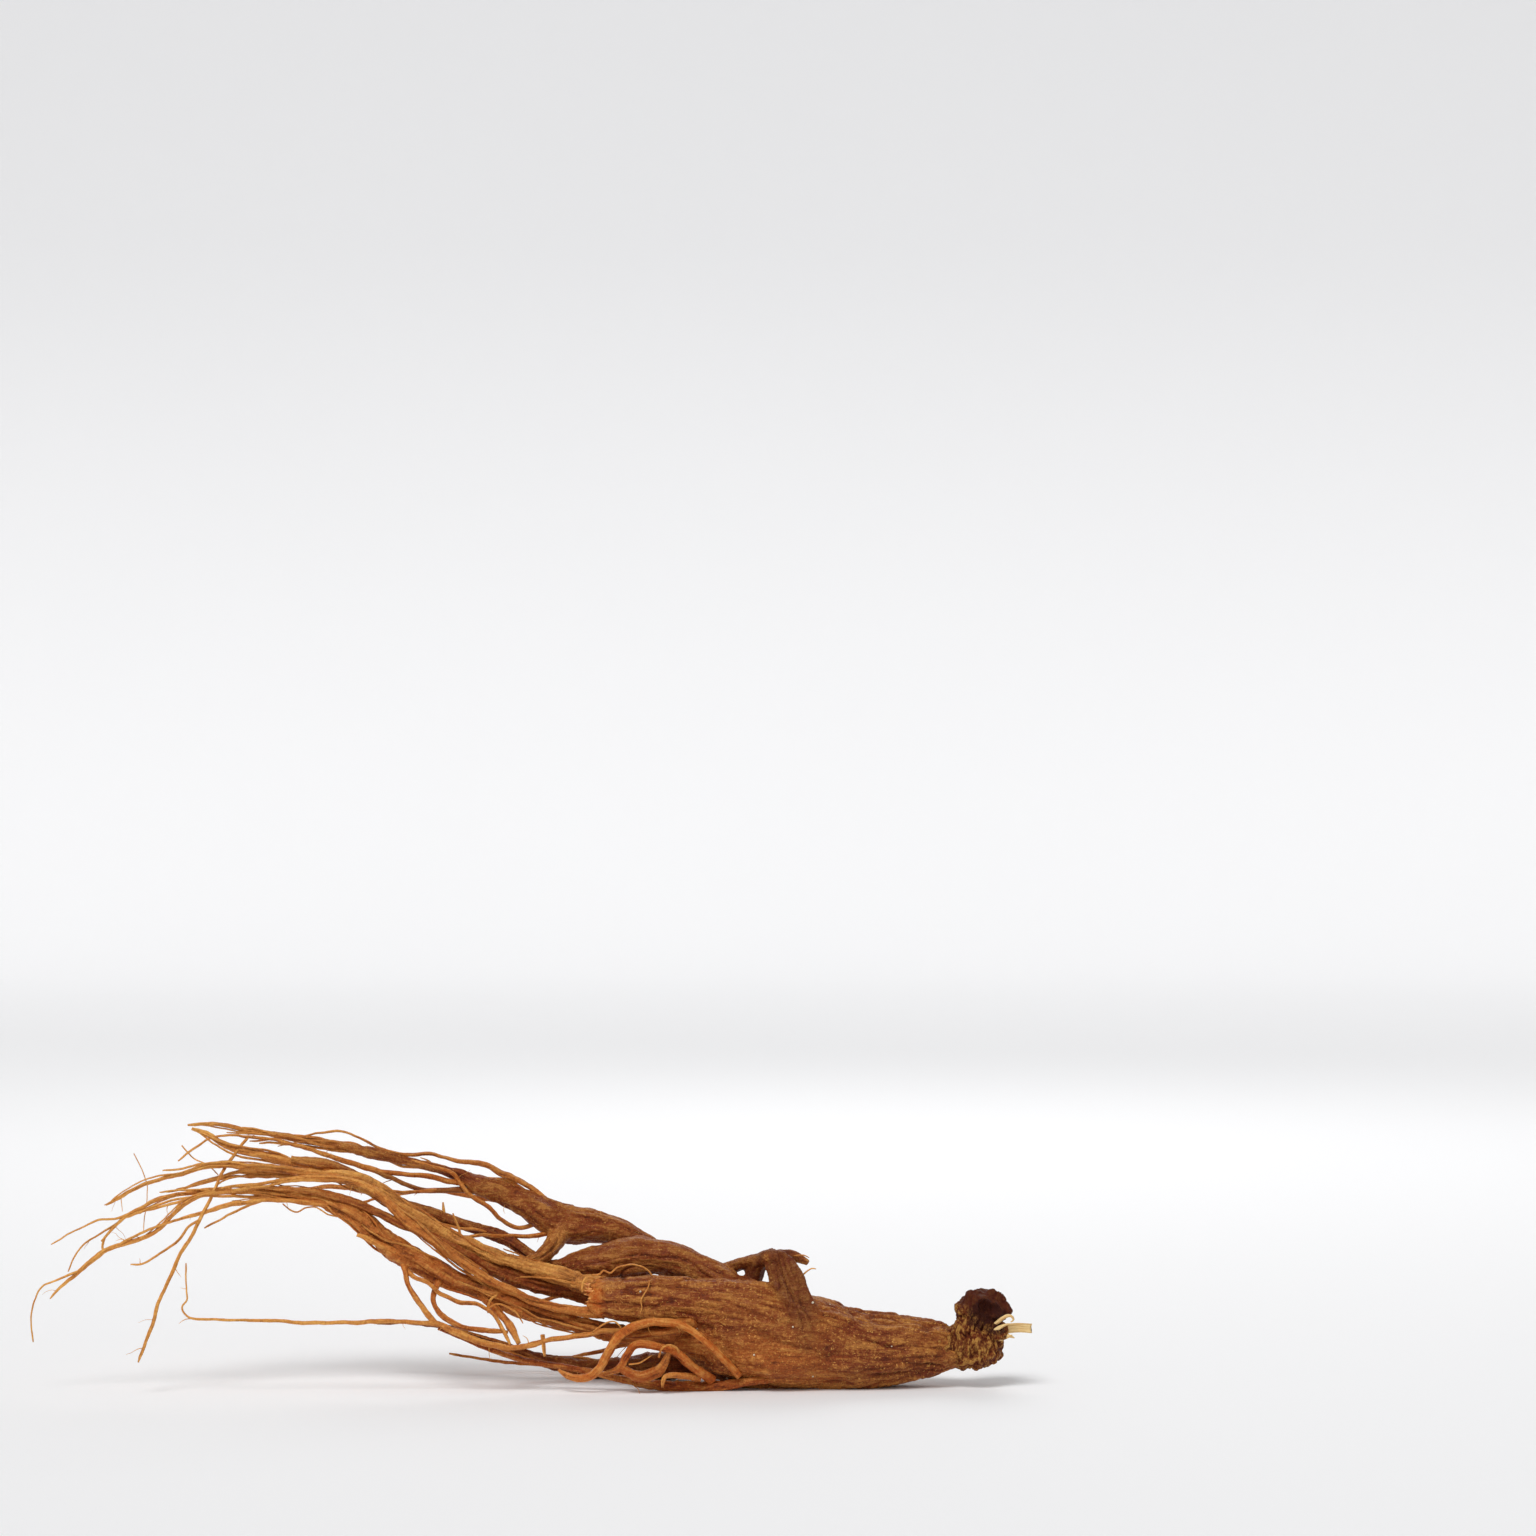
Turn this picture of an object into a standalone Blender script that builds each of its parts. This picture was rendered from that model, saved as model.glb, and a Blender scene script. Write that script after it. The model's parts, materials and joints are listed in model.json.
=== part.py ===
"""A dried ginseng root lying on its side, one grown piece, with the dry stub of its stem.

The thick taproot lies along X with its crown at +X. It splits into legs that sweep up and
to -X, and every leg thins out into rootlets. All sizes are in millimetres until they are
scaled to metres where a mesh is made. The root lies on the plane z = 0.
"""

import math

import bmesh
import bpy
from mathutils import Matrix, Vector, noise

MM = 0.001

# Driving sizes
TAPROOT_SIDES = 22
TAPROOT_GAP = 2.4
TAPROOT_SEED = 0
NECK_SIDES = 16
NECK_GAP = 1.3
NECK_SEED = 51
LEG_SIDES = 10
SLIM_LEG_SIDES = 6
THICK_LEG = 2.3
LEG_GAP = 4.2
FIRST_LEG_SEED = 1
FIRST_ROOTLET_SEED = 101
CURVE_STEPS = 8
FOLD_SIDES = 12
FOLD_TWIST = 0.16
FOLD_WIDTH_LEAN = 0.25
FOLD_DEPTH_LEAN = 0.35
RIDGE_COUNT = 7
RIDGE_DEPTH = 0.045
RIDGE_TWIST = 0.1
LUMP_DEPTH = 0.1
LUMP_LENGTH = 9.0
LUMP_SPREAD = 0.9
LUMP_LANE = 5.3
WANDER_LENGTH = 13.0
WANDER_SHARE = 0.55
WANDER_MOST = 0.5
WANDER_SEED = 7
WANDER_LANES = (3.7, 1.9)
THIN_ROOTLET = 0.75
THIN_GAP = 5.2
ROOTLET_GAP = 3.8
WELD_GAP = 0.01
SOLE_DEPTH = 20.0
SOLE_SIZE = 260.0
SHARP_ANGLE = math.radians(50)

# Each route is a list of (x, y, z, radius) from where the limb grows out to its tip
TAPROOT = [
    (86.0, 0, 7.8, 3.4), (84.2, 0, 7.6, 3.9), (82.6, 0, 7.6, 4.5), (80.4, 0, 7.7, 5.3),
    (77.6, 0, 7.5, 5.9), (73.6, 0, 7.3, 6.8), (67.6, 0, 7.4, 7.4), (63.6, 0, 7.7, 7.9),
    (57.6, 0, 8.7, 8.9), (53.6, 0, 9.1, 9.3), (47.6, 0.3, 9.4, 9.5), (41.6, 0.6, 10.2, 9.5),
    (37.6, 0.8, 10.8, 8.8), (33.6, 1, 11.4, 7.0), (30.5, 1, 11.8, 4.6), (28.8, 1, 12, 2.2),
]

LEGS = {
    "cut_leg": [
        (64, -1.5, 9.4, 5.0), (57, -3.3, 11.2, 6.2), (50, -3.4, 13.4, 6.4), (43, -3.2, 15.2, 6.1),
        (35.6, -3.2, 16.6, 5.4), (29.6, -3.4, 17.3, 4.8), (23.6, -3.6, 17.6, 4.6),
        (18.6, -4, 17.8, 4.2), (14.2, -4, 18.1, 3.8), (12.0, -3.8, 18.3, 3.0),
    ],
    "low_leg": [
        (60, -2.6, 6.6, 5.0), (52, -3.4, 7.4, 6.0), (45, -3.6, 8.4, 6.0), (41, -3.8, 8.8, 5.2),
        (36.6, -4, 9.2, 4.0), (31.6, -4, 9.4, 3.0), (23.6, -3.5, 10.4, 2.2), (15.6, -3, 11.2, 1.9),
        (7.6, -2.5, 12.9, 1.8), (1.6, -2, 14.6, 1.9), (-4.4, -2, 17, 2.0), (-10.4, -2, 19.6, 2.0),
        (-16.4, -1.5, 21.6, 2.0), (-21.4, -1, 24.1, 2.2), (-26.4, -0.5, 27.2, 2.4), (-30.4, 0, 30, 2.2),
        (-34.4, 0, 33.2, 2.0), (-38.4, 0, 35.2, 1.6), (-42, 0, 37, 1.3), (-47, -0.5, 38.2, 1.0),
        (-52.4, -1, 38.7, 0.9), (-58.4, -1.5, 39.3, 0.72), (-64.4, -2, 39.2, 0.62),
        (-70.4, -2.5, 38.8, 0.55), (-74.6, -3, 37.9, 0.58), (-77.6, -3, 36.6, 0.5),
        (-80.6, -3, 34.8, 0.45), (-83.6, -3, 32.2, 0.4), (-86, -3, 29.4, 0.32),
    ],
    "arched_leg": [
        (49, 1.5, 12.5, 4.6), (44, 2.5, 16.0, 4.2), (38.5, 3.5, 19.4, 3.6), (34.6, 4.5, 21.8, 3.1),
        (31.6, 5.5, 23.6, 2.9), (26.6, 6.5, 25.0, 3.3), (21.6, 7, 25.2, 3.7), (16.6, 7, 24.6, 3.6),
        (11.6, 6.5, 23.8, 3.1), (7.6, 7, 23.4, 2.3), (4.8, 7.5, 23.0, 1.6), (1.6, 8, 23.9, 1.3),
        (-1.4, 8.5, 25.6, 1.3), (-5.4, 9, 28.0, 1.4), (-10.4, 9, 30, 1.4), (-15.4, 8.5, 31.6, 1.25),
        (-20.4, 8, 33.3, 1.4), (-24.6, 7, 35.2, 1.2), (-28.4, 6, 37, 1.0), (-32.6, 5, 39.2, 1.0),
        (-37.6, 4, 42.4, 1.05), (-42.4, 3.5, 44.4, 1.1), (-46.4, 3.5, 45.3, 1.0), (-48.8, 3.5, 45.7, 0.9),
    ],
    "back_leg": [
        (39, 4, 12.5, 4.0), (33.5, 7, 16.5, 3.2), (29, 9, 19.8, 2.7), (25.6, 11.2, 23.8, 2.2),
        (20.6, 13, 27.2, 2.2), (16.6, 14, 29.2, 2.6), (11.6, 14, 30.4, 3.3), (6.6, 14, 30.6, 3.9),
        (2.6, 13.5, 32.2, 3.4), (-2.4, 13, 35.4, 2.7), (-6.4, 13, 37.0, 2.4), (-10.4, 12.5, 38.7, 2.1),
        (-13.6, 12, 40, 1.6), (-16.8, 12, 41.2, 1.2), (-20.8, 11.5, 42.7, 1.0), (-27, 11, 44.5, 1.0),
        (-33, 10, 45.8, 1.2), (-39, 9, 47.3, 0.98), (-45, 8.5, 48.4, 0.9), (-51, 8, 49.4, 0.75),
        (-57, 7.5, 50.7, 0.65), (-63, 7, 51.8, 0.56), (-67, 6.5, 52.0, 0.5), (-70, 6, 51.9, 0.4),
    ],
    "golden_leg": [
        (18, -1, 18.5, 2.6), (11.2, 0, 20.4, 2.1), (6.6, 0.5, 21.6, 1.8), (1.6, 1, 22.9, 1.6),
        (-3.4, 1, 24.5, 1.5), (-8.4, 1, 26.3, 1.5), (-13.4, 1.5, 28.2, 1.4), (-17.4, 2, 29.8, 1.3),
        (-20.8, 2, 31.8, 1.3), (-24.4, 2, 34.2, 1.4), (-27.6, 2, 36.4, 1.5), (-31, 2, 38.8, 1.7),
        (-34.6, 2, 40.6, 1.7), (-38.6, 2, 41.8, 1.5), (-43.6, 2, 42.4, 1.2), (-48.6, 2, 42.6, 1.0),
        (-53.6, 1.5, 42.5, 0.72), (-58.6, 1, 42.7, 0.5), (-62.6, 0.5, 42, 0.43), (-66.6, 0, 41, 0.38),
        (-70.6, -1, 39.7, 0.34), (-73.4, -2, 39.2, 0.28),
    ],
    "cord_leg": [
        (14.5, -4, 15.5, 1.5), (10.6, -4.6, 15.6, 1.05), (5.6, -4.6, 16.1, 0.95), (1.6, -4.4, 17.3, 0.92),
        (-2.4, -4, 18.9, 0.95), (-6.4, -3.6, 20.6, 1.0), (-10.4, -3.2, 22.8, 1.05), (-14.4, -2.8, 25.5, 1.1),
        (-18.4, -2.2, 28.3, 1.15), (-22.4, -1.6, 31.2, 1.1), (-25.6, -1, 33.5, 1.1), (-27.8, -0.4, 35.5, 1.0),
        (-30, 0, 37.8, 0.9), (-33, 0, 40, 0.8), (-38, -0.5, 41.6, 0.62), (-43, -1, 42, 0.55),
        (-48, -1.5, 41.8, 0.5), (-53, -2.5, 41, 0.42), (-58, -3.5, 40.7, 0.36), (-62, -4.5, 40.2, 0.32),
    ],
    "shade_leg": [
        (18, 1, 16.5, 2.2), (9, 2, 18.6, 1.8), (2.6, 2, 19.8, 1.8), (-3.4, 1.5, 21.3, 1.6),
        (-7.6, 1, 23, 1.25), (-11.6, 0.5, 25.2, 1.0), (-15.6, 0, 27.6, 0.9), (-20, 0, 30.2, 0.9),
        (-26.4, -0.5, 32.5, 0.9), (-31, -0.5, 34.7, 0.9), (-34.8, -0.5, 36.5, 1.0), (-39, -0.5, 38, 0.95),
        (-44, -1, 39.2, 0.8), (-49, -1.8, 39.8, 0.6), (-54, -2.5, 40.2, 0.48), (-60, -4, 39.4, 0.44),
        (-65.4, -5, 38.8, 0.44), (-69.4, -5.5, 36.8, 0.5), (-71.4, -5.5, 34.8, 0.5), (-74.4, -5.5, 31.8, 0.5),
        (-77.4, -5.5, 30.4, 0.6), (-81.4, -5.5, 29, 0.6), (-84.8, -5.5, 27.9, 0.6), (-86.8, -5.3, 26.4, 0.68),
        (-89.4, -5, 24.4, 0.58), (-91.4, -5, 22.8, 0.48), (-94, -5, 20.6, 0.38), (-96, -5, 18.2, 0.25),
    ],
    "rear_leg": [
        (48, 3, 7.5, 5.0), (40, 5.5, 6.6, 4.0), (34, 7.5, 5.0, 3.3), (28, 9, 3.2, 2.8),
        (20, 10.5, 2.0, 2.5), (12, 10.5, 1.8, 2.1), (5, 9, 3.2, 1.5), (-2, 7.5, 5.6, 1.1),
        (-9, 6.5, 8.2, 0.8), (-17, 7, 10.6, 0.62), (-25, 9, 11.6, 0.48), (-33, 12, 11, 0.36),
    ],
    "strut": [
        (6, 13, 31.5, 2.2), (4.2, 10.5, 28.4, 1.9), (2.3, 7, 26.2, 1.6), (0, 4, 24.9, 1.35),
        (-2.8, 2, 24.4, 1.1), (-5, 1.2, 25, 0.8),
    ],
    "upper_fork": [
        (-36, 3, 41.6, 1.0), (-42, 4, 43, 1.0), (-48.4, 5, 44, 0.95), (-52.4, 5, 45, 1.0),
        (-56.4, 5, 46.2, 0.95), (-60.4, 5, 47.3, 0.9), (-63.4, 5, 48.7, 0.8), (-66.4, 5, 50.3, 0.75),
        (-69, 5, 51.4, 0.55),
    ],
    "middle_fork": [
        (-39, 1.5, 41.6, 1.0), (-46, 0.5, 43, 0.9), (-52.4, 0, 43.8, 0.82), (-58.4, -0.5, 44.3, 0.78),
        (-62.4, -0.5, 44.3, 0.7), (-66.4, -1, 43.7, 0.62), (-70.4, -1, 42.6, 0.58), (-74.4, -1, 41.6, 0.58),
        (-77.4, -1, 40.7, 0.55), (-80.4, -1, 39.3, 0.5), (-83.4, -1, 37.5, 0.42), (-85.4, -1, 36.5, 0.3),
    ],
    "fold_back": [
        (48.4, -1.2, 26.2, 1.5), (45.6, 2, 24.6, 1.7), (43.8, 4, 20.6, 1.8), (43, 4.4, 16.5, 1.7),
    ],
    "fold_left": [
        (48, -0.6, 26.0, 1.1), (43.4, 3, 24.6, 1.3), (38.6, 6, 22.8, 1.2), (34, 7, 21.2, 1.1),
        (30.5, 8.5, 20.0, 1.1),
    ],
    "fold_tip": [(47.6, -1.4, 26.0, 1.3), (52, -1.5, 26.3, 1.1), (55.2, -1, 24.8, 0.6)],
}

ROOTLETS = {
    "cross_rootlet": [
        (3.6, 12, 29.6, 0.6), (0, 11, 29, 0.5), (-6.4, 8, 29.3, 0.45), (-10.4, 6, 29.8, 0.42),
        (-13.4, 4.5, 29.6, 0.4), (-17, 2.6, 29.6, 0.35),
    ],
    "loop_rootlet": [
        (1.6, 13.4, 32, 0.6), (-2.4, 13, 30.4, 0.52), (-5, 12.5, 30.8, 0.5), (-7, 11.5, 32.2, 0.5),
        (-9, 11, 34.4, 0.5), (-12.4, 10.5, 36.8, 0.5), (-15, 10.4, 39.4, 0.5), (-17.4, 10.6, 42.0, 0.46),
        (-21.5, 10.8, 43.2, 0.42), (-26, 11, 44.4, 0.4),
    ],
    "crest_rootlet": [
        (3, 13, 35.0, 0.8), (-0.4, 13.5, 38, 0.65), (-4.4, 13.5, 40.2, 0.7), (-7.4, 13.5, 41.5, 0.75),
        (-9.6, 13, 42.9, 0.62), (-13, 13, 43.7, 0.58), (-16, 12.5, 43.8, 0.52), (-19, 12.5, 44.7, 0.46),
        (-22, 12, 45.5, 0.44), (-27.4, 11.2, 45.4, 0.4), (-31, 11, 46.6, 0.34), (-35, 10.5, 48.7, 0.3),
        (-39, 10, 50.2, 0.28), (-43.5, 9.4, 50, 0.28), (-48, 8.6, 49.2, 0.3),
    ],
    "crest_twig": [
        (-1.5, 13.4, 37.0, 0.5), (-5.4, 13.8, 39.8, 0.45), (-9.4, 13.4, 40.4, 0.42), (-13.4, 12.6, 40.6, 0.4),
    ],
    "second_strand": [
        (-13.5, 11.8, 39.6, 1.0), (-17.4, 11, 40, 0.7), (-22, 10, 41.2, 0.62), (-28.4, 9, 41.8, 0.6),
        (-33, 8, 42.8, 0.65), (-37, 7.5, 44.2, 0.66), (-41, 7, 45.6, 0.58), (-45.4, 6.5, 47, 0.5),
        (-49.4, 6, 48.1, 0.46), (-53.4, 6, 49.1, 0.42), (-58.4, 5.5, 49.8, 0.36), (-62.4, 5, 49.8, 0.32),
        (-65.6, 4.5, 49.2, 0.3), (-68.6, 4, 47.2, 0.28), (-71.6, 3.5, 44.9, 0.26),
    ],
    "dark_strand": [
        (-11.5, 12, 37.8, 0.8), (-17, 11, 38.3, 0.62), (-22, 10, 38.4, 0.55), (-26, 9, 39.6, 0.52),
        (-29.4, 8.6, 41.2, 0.55), (-32.5, 8.1, 42.4, 0.5),
    ],
    "side_strand": [(-20, 10.4, 38.3, 0.45), (-26.4, 7, 38.3, 0.36), (-30.5, 4, 38.9, 0.36)],
    "lower_strand": [
        (-41, -0.4, 36.6, 0.9), (-48, -2, 37.3, 0.58), (-53.4, -3, 37.8, 0.52), (-58, -4, 37.2, 0.6),
        (-62.4, -4.5, 36.2, 0.58), (-66, -5, 35, 0.5), (-71, -5.5, 33.8, 0.36), (-75, -6, 32.4, 0.36),
        (-79.4, -5.9, 30.4, 0.4), (-82.5, -5.6, 28.8, 0.4),
    ],
    "falling_rootlet": [
        (-57.5, 5.5, 49.8, 0.34), (-59.4, 5, 47.4, 0.38), (-61, 1.8, 45.2, 0.4), (-62.4, -1.4, 42.6, 0.42),
        (-63.2, -3.2, 40.3, 0.42), (-64.6, -4.6, 37.2, 0.45), (-66, -5.4, 34.2, 0.48), (-67.4, -6.6, 31, 0.5),
        (-69.6, -7.6, 27.3, 0.5), (-71.6, -8.6, 22.5, 0.48), (-73.8, -9.3, 17.7, 0.46),
        (-75, -10, 13.4, 0.46), (-76.2, -10.5, 9.7, 0.44), (-77.4, -11, 6.2, 0.3),
    ],
    "falling_twig": [
        (-66, -5.6, 34.0, 0.4), (-68, -6.4, 32.8, 0.34), (-69.2, -6.9, 31.2, 0.34), (-71, -7.4, 29.4, 0.32),
        (-74.4, -8, 27, 0.3), (-77, -8, 25.6, 0.28), (-79.4, -8, 25.4, 0.25),
    ],
    "tip_strand": [
        (-64, -2.6, 38.9, 0.4), (-70.4, -4, 37.4, 0.35), (-74.4, -4.5, 36.4, 0.35), (-78.4, -4.3, 35.2, 0.34),
        (-81.2, -3.4, 34.2, 0.32),
    ],
    "tip_1": [
        (-80.2, -3, 35, 0.4), (-83, -3.5, 34, 0.34), (-86, -4, 33.8, 0.28), (-89.4, -4.5, 32.6, 0.25),
        (-92.4, -5, 31, 0.22), (-95.6, -5.5, 29.0, 0.2),
    ],
    "tip_2": [
        (-82.2, -3, 33.4, 0.36), (-86, -2, 31, 0.27), (-89.4, -1.5, 28.8, 0.25), (-91.6, -1, 26.2, 0.22),
        (-93, -1, 23, 0.2),
    ],
    "tip_link": [(-85.4, -3, 30.0, 0.34), (-85.6, -4.2, 28.6, 0.32), (-85.2, -5.4, 27.6, 0.32)],
    "tip_3": [
        (-90.4, -5, 23.6, 0.36), (-95, -5, 21.8, 0.26), (-97.6, -5, 20.5, 0.24), (-99, -5, 18, 0.22),
        (-99.6, -5, 14.5, 0.21), (-99.4, -5, 9.5, 0.2),
    ],
    "long_rootlet": [
        (20, -5, 11.4, 0.9), (15.6, -6.5, 12, 0.66), (11.6, -7, 11.3, 0.62), (6.6, -7.5, 10.8, 0.6),
        (2.6, -8, 10.3, 0.6), (-0.4, -8.5, 9.4, 0.68), (-3.4, -8.5, 8.8, 0.62), (-7.4, -8.5, 9.4, 0.7),
        (-11.4, -8.5, 10.6, 0.8), (-15.4, -8.5, 12.2, 0.8), (-18.4, -8.5, 13.6, 0.7),
        (-21.4, -8.5, 13.8, 0.5), (-26.4, -8.5, 14.2, 0.5), (-36, -9, 13.9, 0.46),
        (-46.4, -9, 14.1, 0.42), (-54.4, -9.5, 14.3, 0.38),
        (-61.4, -10, 14.6, 0.34), (-66.4, -10, 14.8, 0.3), (-68.2, -10, 15.6, 0.28), (-69, -10, 17, 0.26),
        (-68, -10, 18.6, 0.24), (-68, -10, 21, 0.22), (-68.2, -10, 25.8, 0.22),
    ],
    "drop_rootlet": [
        (-26, -1.2, 26, 1.0), (-25.2, -3.4, 22.6, 0.6), (-24.4, -4.8, 20.4, 0.54), (-22.8, -6, 18.3, 0.6),
        (-20.4, -7.5, 15.6, 0.68), (-18, -8.4, 13.4, 0.62),
    ],
    "ground_rootlet": [
        (-18.2, -8.2, 13.0, 0.6), (-13, -7.5, 10.6, 0.6), (-8, -7, 8.4, 0.58), (-3, -6.5, 6.6, 0.6),
        (3, -6, 5.2, 0.64), (9, -6, 4.2, 0.7), (15, -6, 3.0, 0.8), (22, -6, 1.6, 1.0), (29, -6, 0.8, 1.2),
        (36, -6, 0.9, 1.2), (42, -6, 1.8, 1.0), (48, -6.5, 2.5, 0.78), (54, -7.5, 3.4, 0.45),
    ],
    "bent_rootlet": [
        (-18.6, -2.2, 21.6, 0.8), (-19.6, -4.5, 17.8, 0.58), (-17.4, -6, 14.8, 0.6), (-13.4, -6.5, 13, 0.58),
        (-8.4, -6.2, 12.2, 0.56), (-4.6, -6.2, 11.7, 0.5),
    ],
    "short_thick": [
        (-10.4, -2.4, 18.8, 1.1), (-6.4, -4.5, 15.3, 0.84), (-4, -6.5, 12.6, 0.9), (-2.4, -8, 9.8, 0.75),
    ],
    "short_stub": [
        (-26, -1.4, 26.4, 1.0), (-29.4, -2, 28.2, 0.7), (-32.4, -2.2, 29.6, 0.68), (-35, -2.4, 30.6, 0.6),
    ],
    "hoop_root": [(33, -5, 13.4, 1.3), (30.6, -8.2, 13.8, 1.0), (27, -9.4, 14.2, 0.8)],
    "hoop_rootlet": [
        (41.5, -7.5, 3.2, 0.8), (37.6, -10, 7.8, 0.76), (34.6, -10.5, 10.6, 0.82), (31.6, -10, 12.8, 0.86),
        (28.6, -9.5, 14.1, 0.92), (23.6, -9.5, 14.2, 0.94), (19.6, -9.5, 12.9, 1.0), (16.2, -9.5, 10, 1.0),
        (14.4, -9.5, 6.8, 0.92), (12.6, -9.5, 4.2, 0.86), (10.2, -9, 3, 0.82), (7.6, -8.5, 3.3, 0.7),
        (5.6, -7.2, 4.4, 0.5),
    ],
    "hoop_twin": [
        (30.6, -7.6, 13, 0.9), (26, -8.5, 11.9, 0.7), (21, -7.6, 11.2, 0.66), (16.6, -5.6, 11.4, 0.6),
    ],
    "front_curl": [
        (36, -6, 2.2, 1.1), (32.4, -9.5, 5.2, 1.0), (29.8, -10.5, 7.8, 0.95), (27, -10.5, 8.9, 0.82),
        (23.6, -10.5, 9.8, 0.88), (21, -10.5, 9.6, 0.88), (19.2, -10, 7.4, 0.82), (17.8, -9, 5, 0.8),
        (15, -6.6, 3.6, 0.7),
    ],
    "curl_loop": [
        (18.2, -9.3, 5.0, 0.9), (21.6, -9.8, 3.4, 1.15), (25, -10, 4.2, 1.1), (27, -10.4, 6.6, 0.9),
        (28, -10.5, 8.6, 0.7),
    ],
    "curl_spur": [(33.5, -7, 2.6, 0.9), (30, -9.5, 3.6, 0.75), (27, -11, 3.6, 0.5), (26.4, -11, 1.4, 0.4)],
    "rear_rootlet_1": [
        (19, 12, 3.0, 0.9), (12, 16, 2.0, 0.6), (2, 19, 1.4, 0.45), (-8, 20, 2.0, 0.36), (-18, 18, 4, 0.3),
    ],
    "rear_rootlet_2": [
        (36, 7, 9, 1.3), (30, 13, 9, 0.8), (22, 17, 7, 0.6), (12, 20, 4, 0.42), (4, 24, 2, 0.3),
    ],
    "rear_rootlet_3": [
        (-4, 14, 36, 1.0), (-12, 18, 36, 0.6), (-20, 21, 37, 0.45), (-30, 22, 36, 0.36), (-42, 20, 33, 0.27),
    ],
    "rear_rootlet_4": [
        (18, 8, 25, 1.2), (14, 11, 22, 0.7), (8, 13, 18, 0.5), (0, 14, 15, 0.4), (-10, 13, 13, 0.3),
    ],
    "rear_rootlet_5": [
        (-30, 3, 38, 1.0), (-38, 8, 39, 0.6), (-48, 12, 38, 0.42), (-58, 15, 35, 0.34), (-68, 16, 30, 0.26),
    ],
    "rear_rootlet_6": [
        (58, 6, 12, 1.3), (53, 11, 11, 0.8), (47, 14, 8, 0.55), (42, 16, 4.4, 0.4), (39, 18, 1.6, 0.3),
    ],
}

# The flattened fold that stands up from the taproot: (x, y, z), half width, half thickness
FOLD = [
    ((54.6, -6.2, 10.5), 3.6, 1.5), ((53.8, -6.6, 14.5), 3.6, 1.2), ((52.4, -6.2, 18.4), 3.4, 1.0),
    ((50.8, -4.4, 22.6), 3.3, 0.9), ((49.4, -2.2, 25.8), 3.0, 1.0), ((48.6, -1.2, 27.0), 2.2, 0.8),
]

# The crown: a gnarled neck with swollen bud scars round it, (x, y, z) and half sizes, and a
# thick hood on top with a shallow dish scooped out of its front
NECK = [
    (81.0, 0, 7.6, 4.5), (84.0, 0, 8.0, 4.0), (85.8, 0, 8.2, 4.9), (87.2, 0, 8.5, 4.6),
    (89.2, 0, 8.7, 5.1), (91.0, 0, 8.9, 4.6), (92.2, 0, 9.8, 3.7), (93.8, 0, 10.6, 2.2),
]
BUD_SCARS = [
    ((92.4, -1.6, 11.4), (2.4, 2.8, 2.4)), ((86.8, -1.8, 11.8), (2.6, 2.6, 2.4)),
    ((88.8, -2.8, 6.6), (3.0, 2.3, 2.6)), ((89.0, 2.6, 10.6), (3.6, 3.0, 3.6)),
]
HOOD = ((90.0, 0.6, 15.3), (5.2, 4.4, 4.2))
HOOD_LIP = ((94.4, 0.2, 15.0), (1.6, 2.0, 1.0))
SCOOP = ((92.3, -5.0, 14.9), (4.8, 3.3, 3.3))
GNARL_LENGTH = 2.4
BUD_GNARL = 0.4
HOOD_GNARL = 0.3
SCOOP_GNARL = 0.35
BALL_SEGMENTS = 14
BALL_RINGS = 9

# The dry stub of the stem, a split flat strip that stands in a socket in the crown. Its
# section is an eight-sided outline in shares of its half height and half depth.
STUB_START = Vector((92.4, -1.0, 10.9))
STUB_END = Vector((99.8, -1.2, 11.8))
STUB_HALF_HEIGHT = 0.95
STUB_HALF_DEPTH = 0.5
STUB_BEND = 0.5
STUB_STATIONS = 7
STUB_SECTION = ((-1, -0.6), (-0.7, -1), (0.7, -1), (1, -0.6), (1, 0.6), (0.7, 1), (-0.7, 1), (-1, 0.6))
SOCKET_GAP = 0.3
SOCKET_DEEPER = 0.5

ROOT_COLOUR = (0.30, 0.15, 0.055, 1)
STRAW_COLOUR = (0.80, 0.55, 0.27, 1)


def clear_scene():
    for thing in list(bpy.data.objects):
        bpy.data.objects.remove(thing)


def collection(name):
    made = bpy.data.collections.new(name)
    bpy.context.scene.collection.children.link(made)
    return made


def finish(name, colour, roughness):
    material = bpy.data.materials.new(name)
    material.use_nodes = True
    shader = material.node_tree.nodes["Principled BSDF"]
    shader.inputs["Base Color"].default_value = colour
    shader.inputs["Roughness"].default_value = roughness
    shader.inputs["Metallic"].default_value = 0.0
    return material


def curved(points, t):
    """The point at t, counted in route points, on a smooth curve through them (Catmull-Rom)."""
    last = len(points) - 1
    i = min(int(t), last - 1)
    f = t - i
    a, b, c, d = (Vector(points[min(max(k, 0), last)]) for k in (i - 1, i, i + 1, i + 2))
    square, cube = 2 * a - 5 * b + 4 * c - d, 3 * b - a - 3 * c + d
    return 0.5 * (2 * b + (c - a) * f + square * f ** 2 + cube * f ** 3)


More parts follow.
